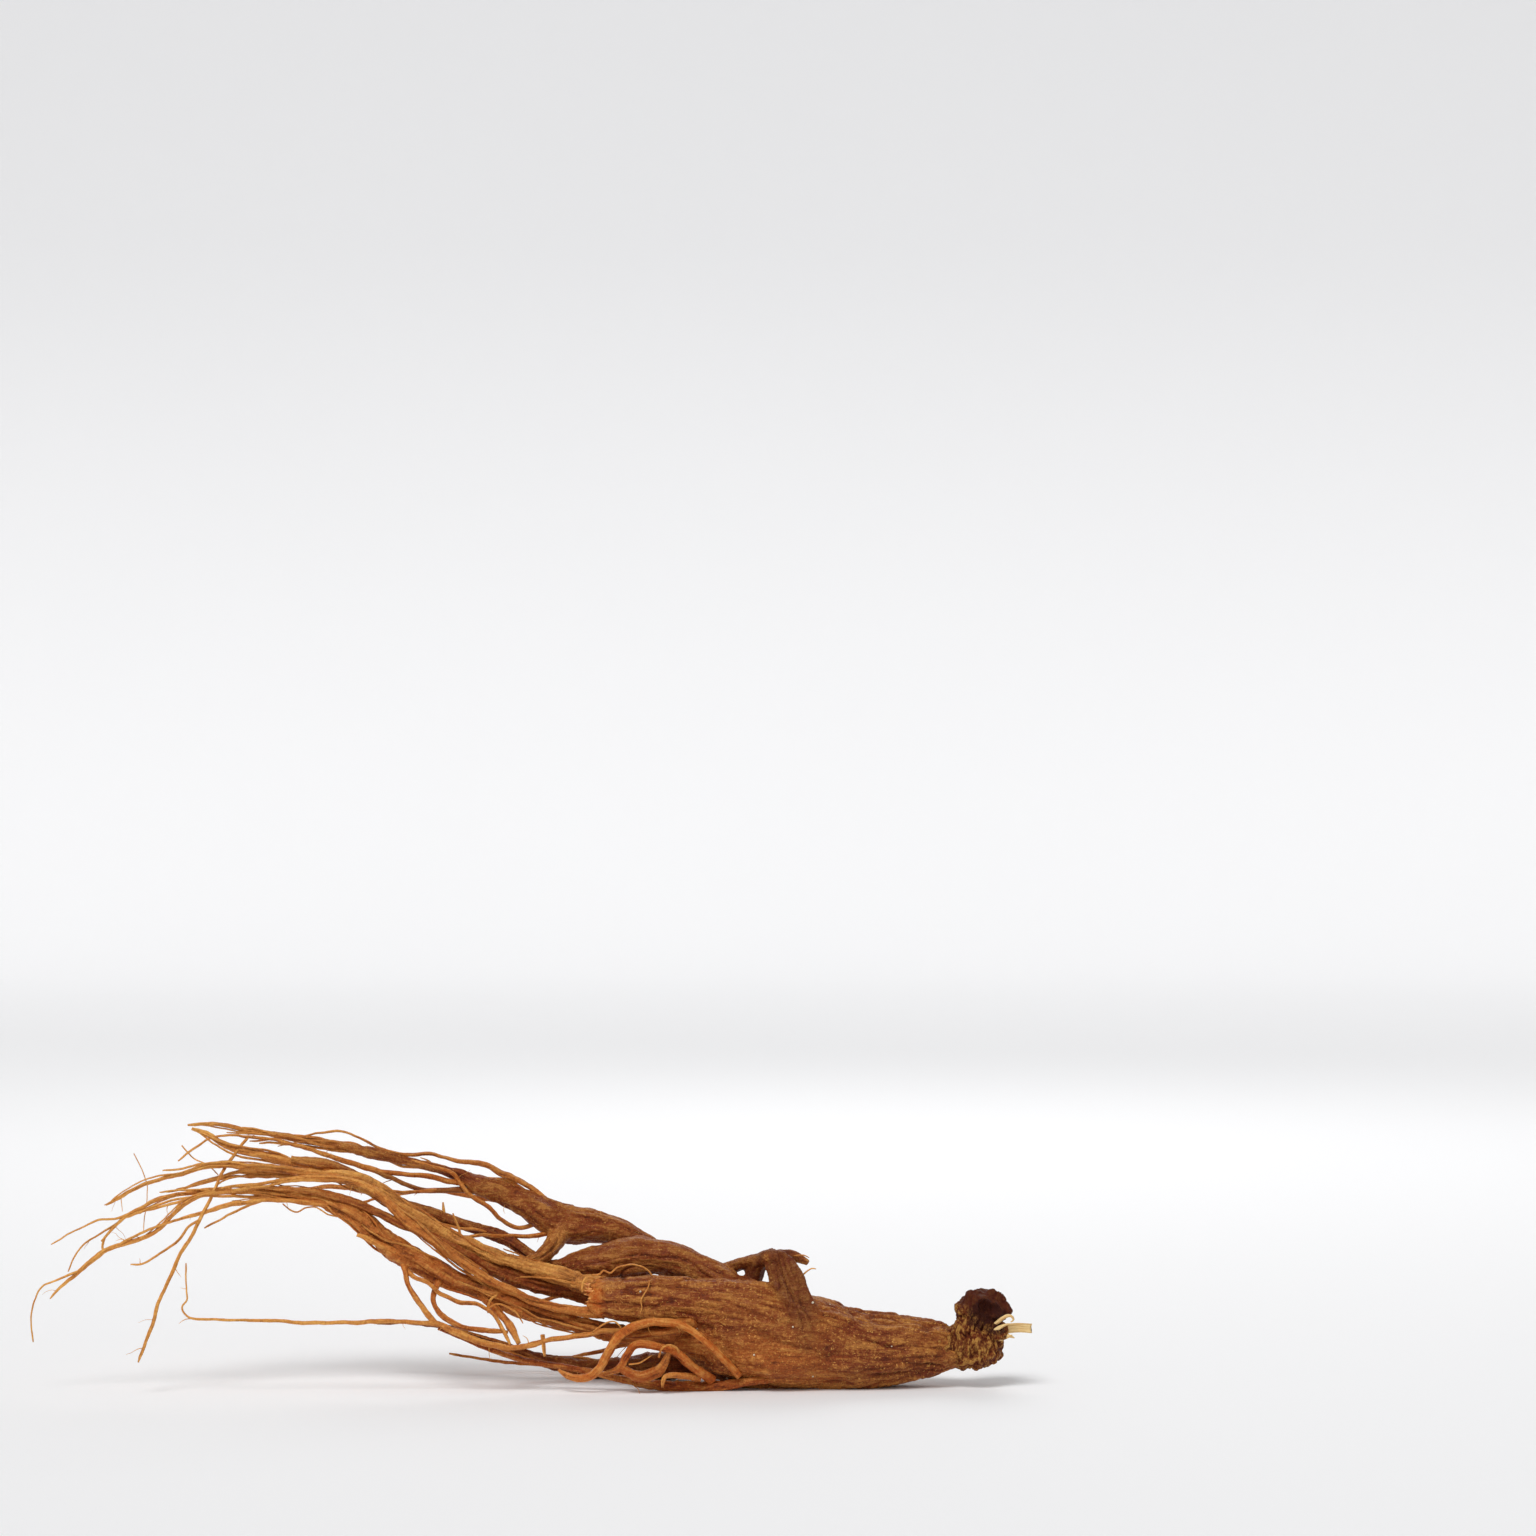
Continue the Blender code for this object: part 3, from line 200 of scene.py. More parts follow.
ROOTLETS = {
    "cross_rootlet": [
        (3.6, 12, 29.6, 0.6), (0, 11, 29, 0.5), (-6.4, 8, 29.3, 0.45), (-10.4, 6, 29.8, 0.42),
        (-13.4, 4.5, 29.6, 0.4), (-17, 2.6, 29.6, 0.35),
    ],
    "loop_rootlet": [
        (1.6, 13.4, 32, 0.6), (-2.4, 13, 30.4, 0.52), (-5, 12.5, 30.8, 0.5), (-7, 11.5, 32.2, 0.5),
        (-9, 11, 34.4, 0.5), (-12.4, 10.5, 36.8, 0.5), (-15, 10.4, 39.4, 0.5), (-17.4, 10.6, 42.0, 0.46),
        (-21.5, 10.8, 43.2, 0.42), (-26, 11, 44.4, 0.4),
    ],
    "crest_rootlet": [
        (3, 13, 35.0, 0.8), (-0.4, 13.5, 38, 0.65), (-4.4, 13.5, 40.2, 0.7), (-7.4, 13.5, 41.5, 0.75),
        (-9.6, 13, 42.9, 0.62), (-13, 13, 43.7, 0.58), (-16, 12.5, 43.8, 0.52), (-19, 12.5, 44.7, 0.46),
        (-22, 12, 45.5, 0.44), (-27.4, 11.2, 45.4, 0.4), (-31, 11, 46.6, 0.34), (-35, 10.5, 48.7, 0.3),
        (-39, 10, 50.2, 0.28), (-43.5, 9.4, 50, 0.28), (-48, 8.6, 49.2, 0.3),
    ],
    "crest_twig": [
        (-1.5, 13.4, 37.0, 0.5), (-5.4, 13.8, 39.8, 0.45),
        (-9.4, 13.4, 40.4, 0.42), (-13.4, 12.6, 40.6, 0.4),
    ],
    "second_strand": [
        (-13.5, 11.8, 39.6, 1.0), (-17.4, 11, 40, 0.7), (-22, 10, 41.2, 0.62), (-28.4, 9, 41.8, 0.6),
        (-33, 8, 42.8, 0.65), (-37, 7.5, 44.2, 0.66), (-41, 7, 45.6, 0.58), (-45.4, 6.5, 47, 0.5),
        (-49.4, 6, 48.1, 0.46), (-53.4, 6, 49.1, 0.42), (-58.4, 5.5, 49.8, 0.36), (-62.4, 5, 49.8, 0.32),
        (-65.6, 4.5, 49.2, 0.3), (-68.6, 4, 47.2, 0.28), (-71.6, 3.5, 44.9, 0.26),
    ],
    "dark_strand": [
        (-11.5, 12, 37.8, 0.8), (-17, 11, 38.3, 0.62), (-22, 10, 38.4, 0.55), (-26, 9, 39.6, 0.52),
        (-29.4, 8.6, 41.2, 0.55), (-32.5, 8.1, 42.4, 0.5),
    ],
    "side_strand": [(-20, 10.4, 38.3, 0.45), (-26.4, 7, 38.3, 0.36), (-30.5, 4, 38.9, 0.36)],
    "lower_strand": [
        (-41, -0.4, 36.6, 0.9), (-48, -2, 37.3, 0.58), (-53.4, -3, 37.8, 0.52), (-58, -4, 37.2, 0.6),
        (-62.4, -4.5, 36.2, 0.58), (-66, -5, 35, 0.5), (-71, -5.5, 33.8, 0.36), (-75, -6, 32.4, 0.36),
        (-79.4, -5.9, 30.4, 0.4), (-82.5, -5.6, 28.8, 0.4),
    ],
    "falling_rootlet": [
        (-57.5, 5.5, 49.8, 0.34), (-59.4, 5, 47.4, 0.38), (-61, 1.8, 45.2, 0.4), (-62.4, -1.4, 42.6, 0.42),
        (-63.2, -3.2, 40.3, 0.42), (-64.6, -4.6, 37.2, 0.45),
        (-66, -5.4, 34.2, 0.48), (-67.4, -6.6, 31, 0.5),
        (-69.6, -7.6, 27.3, 0.5), (-71.6, -8.6, 22.5, 0.48), (-73.8, -9.3, 17.7, 0.46),
        (-75, -10, 13.4, 0.46), (-76.2, -10.5, 9.7, 0.44), (-77.4, -11, 6.2, 0.3),
    ],
    "falling_twig": [
        (-66, -5.6, 34.0, 0.4), (-68, -6.4, 32.8, 0.34), (-69.2, -6.9, 31.2, 0.34), (-71, -7.4, 29.4, 0.32),
        (-74.4, -8, 27, 0.3), (-77, -8, 25.6, 0.28), (-79.4, -8, 25.4, 0.25),
    ],
    "tip_strand": [
        (-64, -2.6, 38.9, 0.4), (-70.4, -4, 37.4, 0.35),
        (-74.4, -4.5, 36.4, 0.35), (-78.4, -4.3, 35.2, 0.34),
        (-81.2, -3.4, 34.2, 0.32),
    ],
    "tip_1": [
        (-80.2, -3, 35, 0.4), (-83, -3.5, 34, 0.34), (-86, -4, 33.8, 0.28), (-89.4, -4.5, 32.6, 0.25),
        (-92.4, -5, 31, 0.22), (-95.6, -5.5, 29.0, 0.2),
    ],
    "tip_2": [
        (-82.2, -3, 33.4, 0.36), (-86, -2, 31, 0.27), (-89.4, -1.5, 28.8, 0.25), (-91.6, -1, 26.2, 0.22),
        (-93, -1, 23, 0.2),
    ],
    "tip_link": [(-85.4, -3, 30.0, 0.34), (-85.6, -4.2, 28.6, 0.32), (-85.2, -5.4, 27.6, 0.32)],
    "tip_3": [
        (-90.4, -5, 23.6, 0.36), (-95, -5, 21.8, 0.26), (-97.6, -5, 20.5, 0.24), (-99, -5, 18, 0.22),
        (-99.6, -5, 14.5, 0.21), (-99.4, -5, 9.5, 0.2),
    ],
    "long_rootlet": [
        (20, -5, 11.4, 0.9), (15.6, -6.5, 12, 0.66), (11.6, -7, 11.3, 0.62), (6.6, -7.5, 10.8, 0.6),
        (2.6, -8, 10.3, 0.6), (-0.4, -8.5, 9.4, 0.68), (-3.4, -8.5, 8.8, 0.62), (-7.4, -8.5, 9.4, 0.7),
        (-11.4, -8.5, 10.6, 0.8), (-15.4, -8.5, 12.2, 0.8), (-18.4, -8.5, 13.6, 0.7),
        (-21.4, -8.5, 13.8, 0.5), (-26.4, -8.5, 14.2, 0.5), (-36, -9, 13.9, 0.46),
        (-46.4, -9, 14.1, 0.42), (-54.4, -9.5, 14.3, 0.38),
        (-61.4, -10, 14.6, 0.34), (-66.4, -10, 14.8, 0.3), (-68.2, -10, 15.6, 0.28), (-69, -10, 17, 0.26),
        (-68, -10, 18.6, 0.24), (-68, -10, 21, 0.22), (-68.2, -10, 25.8, 0.22),
    ],
    "drop_rootlet": [
        (-26, -1.2, 26, 1.0), (-25.2, -3.4, 22.6, 0.6), (-24.4, -4.8, 20.4, 0.54), (-22.8, -6, 18.3, 0.6),
        (-20.4, -7.5, 15.6, 0.68), (-18, -8.4, 13.4, 0.62),
    ],
    "ground_rootlet": [
        (-18.2, -8.2, 13.0, 0.6), (-13, -7.5, 10.6, 0.6), (-8, -7, 8.4, 0.58), (-3, -6.5, 6.6, 0.6),
        (3, -6, 5.2, 0.64), (9, -6, 4.2, 0.7), (15, -6, 3.0, 0.8), (22, -6, 1.6, 1.0), (29, -6, 0.8, 1.2),
        (36, -6, 0.9, 1.2), (42, -6, 1.8, 1.0), (48, -6.5, 2.5, 0.78), (54, -7.5, 3.4, 0.45),
    ],
    "bent_rootlet": [
        (-18.6, -2.2, 21.6, 0.8), (-19.6, -4.5, 17.8, 0.58), (-17.4, -6, 14.8, 0.6), (-13.4, -6.5, 13, 0.58),
        (-8.4, -6.2, 12.2, 0.56), (-4.6, -6.2, 11.7, 0.5),
    ],
    "short_thick": [
        (-10.4, -2.4, 18.8, 1.1), (-6.4, -4.5, 15.3, 0.84), (-4, -6.5, 12.6, 0.9), (-2.4, -8, 9.8, 0.75),
    ],
    "short_stub": [
        (-26, -1.4, 26.4, 1.0), (-29.4, -2, 28.2, 0.7), (-32.4, -2.2, 29.6, 0.68), (-35, -2.4, 30.6, 0.6),
    ],
    "hoop_root": [(33, -5, 13.4, 1.3), (30.6, -8.2, 13.8, 1.0), (27, -9.4, 14.2, 0.8)],
    "hoop_rootlet": [
        (41.5, -7.5, 3.2, 0.8), (37.6, -10, 7.8, 0.76), (34.6, -10.5, 10.6, 0.82), (31.6, -10, 12.8, 0.86),
        (28.6, -9.5, 14.1, 0.92), (23.6, -9.5, 14.2, 0.94), (19.6, -9.5, 12.9, 1.0), (16.2, -9.5, 10, 1.0),
        (14.4, -9.5, 6.8, 0.92), (12.6, -9.5, 4.2, 0.86), (10.2, -9, 3, 0.82), (7.6, -8.5, 3.3, 0.7),
        (5.6, -7.2, 4.4, 0.5),
    ],
    "hoop_twin": [
        (30.6, -7.6, 13, 0.9), (26, -8.5, 11.9, 0.7), (21, -7.6, 11.2, 0.66), (16.6, -5.6, 11.4, 0.6),
    ],
    "front_curl": [
        (36, -6, 2.2, 1.1), (32.4, -9.5, 5.2, 1.0), (29.8, -10.5, 7.8, 0.95), (27, -10.5, 8.9, 0.82),
        (23.6, -10.5, 9.8, 0.88), (21, -10.5, 9.6, 0.88), (19.2, -10, 7.4, 0.82), (17.8, -9, 5, 0.8),
        (15, -6.6, 3.6, 0.7),
    ],
    "curl_loop": [
        (18.2, -9.3, 5.0, 0.9), (21.6, -9.8, 3.4, 1.15), (25, -10, 4.2, 1.1), (27, -10.4, 6.6, 0.9),
        (28, -10.5, 8.6, 0.7),
    ],
    "curl_spur": [(33.5, -7, 2.6, 0.9), (30, -9.5, 3.6, 0.75), (27, -11, 3.6, 0.5), (26.4, -11, 1.4, 0.4)],
    "rear_rootlet_1": [
        (19, 12, 3.0, 0.9), (12, 16, 2.0, 0.6), (2, 19, 1.4, 0.45), (-8, 20, 2.0, 0.36), (-18, 18, 4, 0.3),
    ],
    "rear_rootlet_2": [
        (36, 7, 9, 1.3), (30, 13, 9, 0.8), (22, 17, 7, 0.6), (12, 20, 4, 0.42), (4, 24, 2, 0.3),
    ],
    "rear_rootlet_3": [
        (-4, 14, 36, 1.0), (-12, 18, 36, 0.6), (-20, 21, 37, 0.45), (-30, 22, 36, 0.36), (-42, 20, 33, 0.27),
    ],
    "rear_rootlet_4": [
        (18, 8, 25, 1.2), (14, 11, 22, 0.7), (8, 13, 18, 0.5), (0, 14, 15, 0.4), (-10, 13, 13, 0.3),
    ],
    "rear_rootlet_5": [
        (-30, 3, 38, 1.0), (-38, 8, 39, 0.6), (-48, 12, 38, 0.42), (-58, 15, 35, 0.34), (-68, 16, 30, 0.26),
    ],
    "rear_rootlet_6": [
        (58, 6, 12, 1.3), (53, 11, 11, 0.8), (47, 14, 8, 0.55), (42, 16, 4.4, 0.4), (39, 18, 1.6, 0.3),
    ],
}

# The flattened fold that stands up from the taproot: (x, y, z), half width, half thickness
FOLD = [
    ((54.6, -6.2, 10.5), 3.6, 1.5), ((53.8, -6.6, 14.5), 3.6, 1.2), ((52.4, -6.2, 18.4), 3.4, 1.0),
    ((50.8, -4.4, 22.6), 3.3, 0.9), ((49.4, -2.2, 25.8), 3.0, 1.0), ((48.6, -1.2, 27.0), 2.2, 0.8),
]

# The crown: a gnarled neck with swollen bud scars round it, (x, y, z) and half sizes, and a
# thick hood on top that is scooped out towards the stem stub
NECK = [
    (81.0, 0, 7.6, 4.5), (84.0, 0, 8.0, 4.0), (85.8, 0, 8.2, 4.9), (87.2, 0, 8.5, 4.6),
    (89.2, 0, 8.7, 5.1), (91.0, 0, 8.9, 4.6), (92.2, 0, 9.8, 3.7), (93.8, 0, 10.6, 2.2),
]
BUD_SCARS = [
    ((92.4, -1.6, 11.4), (2.4, 2.8, 2.4)), ((86.8, -1.8, 11.8), (2.6, 2.6, 2.4)),
    ((88.8, -2.8, 6.6), (3.0, 2.3, 2.6)), ((89.0, 2.6, 10.6), (3.6, 3.0, 3.6)),
]
HOOD = ((90.0, 0.6, 15.3), (5.2, 4.4, 4.2))
HOOD_LIP = ((94.4, 0.2, 15.0), (1.6, 2.0, 1.0))
GNARL_LENGTH = 2.4

# The dry stub of the stem, a split flat strip that stands in a socket in the crown. Its
# section is an eight-sided outline in shares of its half height and half depth.
STUB_START = Vector((92.4, -1.0, 10.9))
STUB_END = Vector((99.8, -1.2, 11.8))
STUB_HALF_HEIGHT = 0.95
STUB_HALF_DEPTH = 0.5
STUB_BEND = 0.5
STUB_STATIONS = 7
STUB_SECTION = ((-1, -0.6), (-0.7, -1), (0.7, -1), (1, -0.6), (1, 0.6), (0.7, 1), (-0.7, 1), (-1, 0.6))

# Thin hairs that show against the root, like the routes above
HAIRS = {
    "gap_hair": [
        (12, -4.4, 22.8, 0.26), (13.6, -4.4, 23, 0.25), (14.4, -4.4, 23.8, 0.23), (15.8, -4.4, 23.2, 0.22),
        (17, -4.4, 24.2, 0.21), (18.6, -4.4, 24.8, 0.2), (20.2, -4.4, 25, 0.2), (21.8, -4.4, 24.7, 0.2),
        (23.2, -4.2, 23.8, 0.2), (24.4, -4.0, 22.2, 0.2),
    ],
    "fork_hair": [
        (12.4, -8, 11.9, 0.24), (14.4, -8.6, 13.5, 0.2), (15.8, -8.8, 14.1, 0.18), (17, -8.8, 14, 0.17),
        (18.2, -8.4, 12.6, 0.16),
    ],
    "ring_hair": [
        (25.6, -11, 7.4, 0.26), (26.2, -11.8, 9.2, 0.24), (27.6, -12, 10, 0.22), (29, -11.8, 9.4, 0.22),
        (29.6, -11, 8, 0.2),
    ],
    "under_hair": [
        (19.6, -9.8, 5.8, 0.2), (21.6, -10, 6.1, 0.17), (22.8, -10, 6.7, 0.15), (24.2, -9.8, 7.6, 0.12),
    ],
    "crossing_hair": [
        (-80, 0, 46.7, 0.13), (-78.8, 0, 44.4, 0.13), (-77.8, -0.6, 42.4, 0.13), (-77, -1.4, 40, 0.12),
        (-77.2, -2.8, 36, 0.12), (-77.4, -4.6, 31.2, 0.12),
    ],
    "tip_hair": [(-82.4, -1.2, 38.2, 0.12), (-82.2, -1.6, 36.8, 0.1), (-82, -2, 35.2, 0.08)],
    "top_hair": [
        (-71, 4.4, 47.9, 0.2), (-69.8, 4.4, 46.5, 0.2), (-68.4, 4.4, 45.2, 0.18), (-65.8, 3.4, 44.2, 0.18),
        (-64.4, 1.2, 43.6, 0.16), (-63, -0.8, 42.4, 0.16),
    ],
    "curly_hair": [
        (-50, -1, 36.7, 0.16), (-48.4, -1.6, 35.5, 0.19), (-47, -1.6, 35.1, 0.19), (-45.4, -1.4, 35.9, 0.18),
        (-43.8, -1.4, 36.1, 0.18), (-42.4, -1.2, 35.5, 0.19), (-41, -1, 34.7, 0.2), (-38.4, -0.4, 34, 0.22),
    ],
    "fold_hair": [
        (53.4, -4.6, 22.4, 0.22), (54.4, -5, 23.2, 0.19), (55.2, -5.4, 23.9, 0.17), (56, -5.5, 24.3, 0.15),
        (56.8, -5.5, 24.2, 0.12),
    ],
    "fold_edge_hair": [(52.4, -2.4, 26.4, 0.2), (54.2, -3.4, 26.7, 0.14), (55.4, -4, 26.2, 0.1)],
    "cut_hair": [
        (23.6, -6.4, 22, 0.16), (23.4, -8.0, 20.8, 0.15), (22.6, -8.6, 19.6, 0.15), (22, -9.0, 18.2, 0.13),
        (22.2, -9.0, 17, 0.12), (21.8, -8.8, 15.7, 0.1),
    ],
    "rim_hair": [
        (12.6, -5.4, 22.2, 0.3), (11.2, -6, 22.6, 0.29), (10.6, -6.6, 22, 0.26), (10.2, -7, 21, 0.24),
        (10.2, -7, 19.8, 0.17),
    ],
    "fork_spur": [(-20.6, 13, 42.4, 0.3), (-21.8, 13, 43.9, 0.2), (-23.6, 13, 44.6, 0.12)],
    "golden_thread": [
        (-25.8, -1.5, 24.2, 0.6), (-23.6, -3.6, 22.5, 0.48), (-20.8, -4.6, 21.4, 0.46),
        (-18.2, -5, 19.1, 0.46), (-14.4, -5.2, 17.3, 0.48), (-10.4, -5.6, 16.9, 0.46),
        (-7.2, -6.4, 14.6, 0.46), (-5, -7.4, 11.7, 0.44), (-4, -8.2, 9.4, 0.4),
    ],
    "curly_thread": [
        (-9, -5.4, 15.9, 0.22), (-7.6, -5.6, 16.9, 0.2), (-6.4, -5.8, 17.3, 0.19), (-5, -5.8, 16.9, 0.18),
        (-3.2, -5.8, 15.7, 0.17), (-2, -5.8, 14.1, 0.16), (-1.6, -5.8, 13.3, 0.12),
    ],
    "curly_spur": [(-8.8, -5.2, 16.2, 0.3), (-8, -5.4, 18.1, 0.26), (-6.8, -5.6, 18.9, 0.18)],
    "short_bit": [(2.4, -7.6, 11.4, 0.5), (2.7, -8.3, 9.2, 0.46), (3.0, -8.6, 7.2, 0.36)],
    "arch_spur": [(-18.4, 8, 33.6, 0.44), (-18.5, 8, 34.8, 0.32), (-18.6, 8, 36.1, 0.26)],
    "golden_spur": [
        (-14.6, 1.6, 29.6, 0.42), (-14.9, 1.5, 31.6, 0.3),
        (-15.6, 1.4, 33.2, 0.24), (-16.2, 1.4, 34.7, 0.17),
    ],
}

# Where the line of sight to a pale crumb on the flesh meets the plane y = 0, (x, z), and its size
CRUMBS = [
    ((56.2, 16.8), 0.26), ((52.2, 11.9), 0.2), ((44.4, 6.3), 0.22), ((39.0, 1.6), 0.24), ((56.2, 2.0), 0.2),
    ((21.6, 19.0), 0.22), ((59.6, 16.4), 0.16), ((33.0, 11.6), 0.16),
    ((17.6, 22.0), 0.2), ((72.0, 8.0), 0.15),
]
CRUMB_GNARL = 0.35

# How far along a thick limb its flesh reaches before a thinner strand takes over
FLESH_REACH = {
    "cut_leg": 60.0, "low_leg": 33.0, "arched_leg": 50.0, "back_leg": 58.0, "golden_leg": 7.0,
    "rear_leg": 30.0, "strut": 5.0, "fold_back": 14.0, "fold_left": 12.0, "fold_tip": 20.0,
}
FLESH_FADE = 5.0
FLESH_GAP = 0.8
FLESH_SIDES = 44
FLESH_VOXEL = 0.31
FOLD_SPREAD = 1.14

# The flesh's broad swellings: height, width and seed; and where the cut leg breaks off, along x
SWELLS = [(0.3, 5.0, 71), (0.08, 2.0, 72)]
BREAK_FROM, BREAK_TO = 15.6, 13.0

# A strand starts this far back inside the flesh and swells to its full size over a short way
STRAND_BACK = 8.0
STRAND_SWELL = 5.0

# A strand's rings lie a gap apart, with a side to so many millimetres within the least and most
STRAND_GAP = 0.45
STRAND_FACE = 0.42
STRAND_SIDES = (10, 28)

# Thin strands are slimmer than in the solids, the left tips too, and each end tapers
STRAND_SLIM, SLIM_FROM, SLIM_TO = 0.14, 1.5, 0.8
TIP_SLIM, TIP_FROM, TIP_TO = 0.12, -35.0, -70.0
TIP_TAPER = 4.0

# Knots: share of the radius, length and seed. Bends: reach, length and seed, from some way along
KNOTS = [(0.1, 2.6, 31), (0.07, 0.9, 32)]
KNOT_LANE = 2.7
BENDS = [(0.2, 4.2, 33), (0.07, 1.4, 34)]
BEND_LANES = (1.9, 4.0)
BEND_FADE = 6.0

# A strand's relief against the flesh's, and the most that it may be of the strand's radius
STRAND_RELIEF, RELIEF_MOST = 0.75, 0.2

# Limbs lie this far apart in the pattern of the skin; no centre line comes farther forward
PATTERN_STEP = 31.0
FRONT_MOST = -12.1

# Thin strands that lie along a thicker host: how many each host carries
COMPANIONS = {
    "golden_leg": 13, "cord_leg": 7, "low_leg": 14, "shade_leg": 8, "back_leg": 8, "arched_leg": 7,
    "upper_fork": 3, "middle_fork": 4, "rear_leg": 4,
}
COMPANION_LENGTH = (14.0, 36.0)
COMPANION_RADIUS = (0.18, 0.4)
COMPANION_STEP = 3.5
LEAVING_SHARE = 0.35
HAIR_RADIUS = (0.06, 0.13)

# A limb's tone: how far its colour leans to orange, to pale gold and to dark, each 0 to 1; the dark share is
# painted shade
TONES = {
    "taproot": (0.0, 0.0, 0.0), "fold": (0.1, 0.0, 0.6), "cut_leg": (0.12, 0.0, 0.0),
    "golden_leg": (0.6, 0.6, 0.0), "cord_leg": (0.8, 0.3, 0.0), "low_leg": (0.6, 0.12, 0.0),
    "shade_leg": (0.5, 0.0, 0.35), "rear_leg": (0.3, 0.0, 0.45), "arched_leg": (0.25, 0.0, 0.28),
    "back_leg": (0.2, 0.0, 0.15), "strut": (0.3, 0.2, 0.1), "upper_fork": (0.7, 0.25, 0.0),
    "middle_fork": (0.85, 0.2, 0.0), "fold_back": (0.1, 0.0, 0.75), "fold_left": (0.15, 0.0, 0.45),
    "fold_tip": (0.15, 0.1, 0.1), "ground_rootlet": (0.55, 0.0, 0.1), "long_rootlet": (0.85, 0.45, 0.0),
    "hoop_rootlet": (1.0, 0.1, 0.0), "front_curl": (0.9, 0.0, 0.05), "curl_loop": (0.7, 0.0, 0.1),
    "hoop_root": (0.7, 0.0, 0.1), "hoop_twin": (0.8, 0.0, 0.1), "dark_strand": (0.5, 0.0, 0.5),
    "crest_rootlet": (0.7, 0.3, 0.0),
}
ROOTLET_TONE = (0.85, 0.2, 0.0)

# The left tips pale from one x to the other, to orange and gold, partly their own paler colour and partly
# painted light, and their painted shade fades out there; each end is golden for a way
PALE_FROM, PALE_TO = -18.0, -80.0
PALE_ORANGE, PALE_GOLD = 0.7, 0.75
END_GOLD, END_LENGTH = 0.35, 8.0

# Seeds, one run of numbers for each kind of strand, and of the two draws
FIRST_LEG_SEED = 1
FIRST_ROOTLET_SEED = 101
FIRST_THREAD_SEED = 201
FIRST_HAIR_SEED = 300
FIRST_COMPANION_SEED = 400
FIRST_FIBRE_SEED = 500
FIRST_FRAY_SEED = 700
COMPANION_DRAW, HAIR_DRAW = 11, 5

# Long partings that make a thick leg look like several strands grown together
BUNDLE_TURN = 1.5
BUNDLE_LENGTH = 26.0
BUNDLE_GAP = 0.13
BUNDLE_DEPTH = 0.3
BUNDLE_FROM = (0.8, 1.5)
BUNDLE_SEED = 61

# The broken end of the cut leg, where torn fibres curl out of the rim
TORN_MIDDLE = Vector((12.2, -3.9, 18.25))
TORN_RADIUS = 3.1
TORN_FIBRES = 18
FIBRE_RADIUS = (0.22, 0.6)
FIBRE_LENGTH = (0.7, 2.2)

# How the fold turns along its route and leans, and the steps of its surface
FOLD_STEPS = 6
FOLD_TWIST = 0.16
FOLD_WIDTH_LEAN = 0.25
FOLD_DEPTH_LEAN = 0.35
FOLD_ROLL = 0.45
FOLD_SEED = 60

# The crown's finer surface, and its hollow, which opens to the front under the hood
HOLLOW = ((92.3, -5.0, 14.9), (4.8, 3.3, 3.3))
NECK_SEED = 51
BUD_GNARL = 0.4
HOOD_GNARL = 0.3
SCOOP_GNARL = 0.35
CROWN_VOXEL = 0.2
CROWN_SIDES = 40
CROWN_GAP = 0.5

# The stub's finer rings and sides, and how far its broken end wanders
STRAW_RINGS, STRAW_SIDES = 34, 48
STRAW_END_WANDER = 0.9

# Frays of straw round the stub, like the routes above
STUB_FRAYS = [
    [(92.8, -2.4, 10.8, 0.5), (94.4, -2.9, 10.7, 0.45), (95.6, -3.1, 10.4, 0.32), (96.4, -3.2, 10.1, 0.16)],
    [(92.8, -2.6, 9.8, 0.45), (94.0, -3.2, 10.0, 0.35), (95.4, -3.3, 10.5, 0.22), (96.0, -3.3, 10.8, 0.1)],
    [
        (92.4, -2.6, 12.6, 0.5), (93.8, -3.2, 13.9, 0.42), (94.8, -3.3, 14.5, 0.36), (95.8, -3.3, 14.5, 0.3),
        (96.2, -3.3, 13.8, 0.26), (95.6, -3.3, 13.3, 0.2),
    ],
    [(91.8, -3.4, 11.2, 0.4), (93.2, -3.9, 12.2, 0.42), (94.6, -3.8, 12.9, 0.3), (95.6, -3.6, 13.0, 0.14)],
]

# The camera stands where the photograph was taken from; the lights are large and soft
CAMERA_PLACE = Vector((47.2, -830.0, 124.0))
CAMERA_LENS = 97.0
CAMERA_SENSOR = 36.0
WORLD_LIGHT = 0.33
SUN_FROM, SUN_POWER, SUN_WIDTH = (-0.3, -0.62, 1.0), 1.75, 26.0
LIGHTS = [("fill", (0.5, -0.8, 0.3), 0.5, 0.6), ("rim", (0.1, 0.6, 0.5), 0.4, 0.9)]
SWEEP_HALF, SWEEP_BEND = 1.6, 0.5


def linear(red, green, blue):
    """A colour as a screen shows it, 0 to 255, as a linear colour."""
    shares = (channel / 255 for channel in (red, green, blue))
    return tuple(c / 12.92 if c <= 0.04045 else ((c + 0.055) / 1.055) ** 2.4 for c in shares)


def length(name, description, millimetres):
    return FloatProperty(
        name=name, description=description, default=millimetres * MM, min=0.0, unit="LENGTH", precision=5
    )


def colour(name, description, red, green, blue):
    return FloatVectorProperty(
        name=name, description=description, default=linear(red, green, blue), min=0.0, max=1.0, size=3,
        subtype="COLOR",
    )


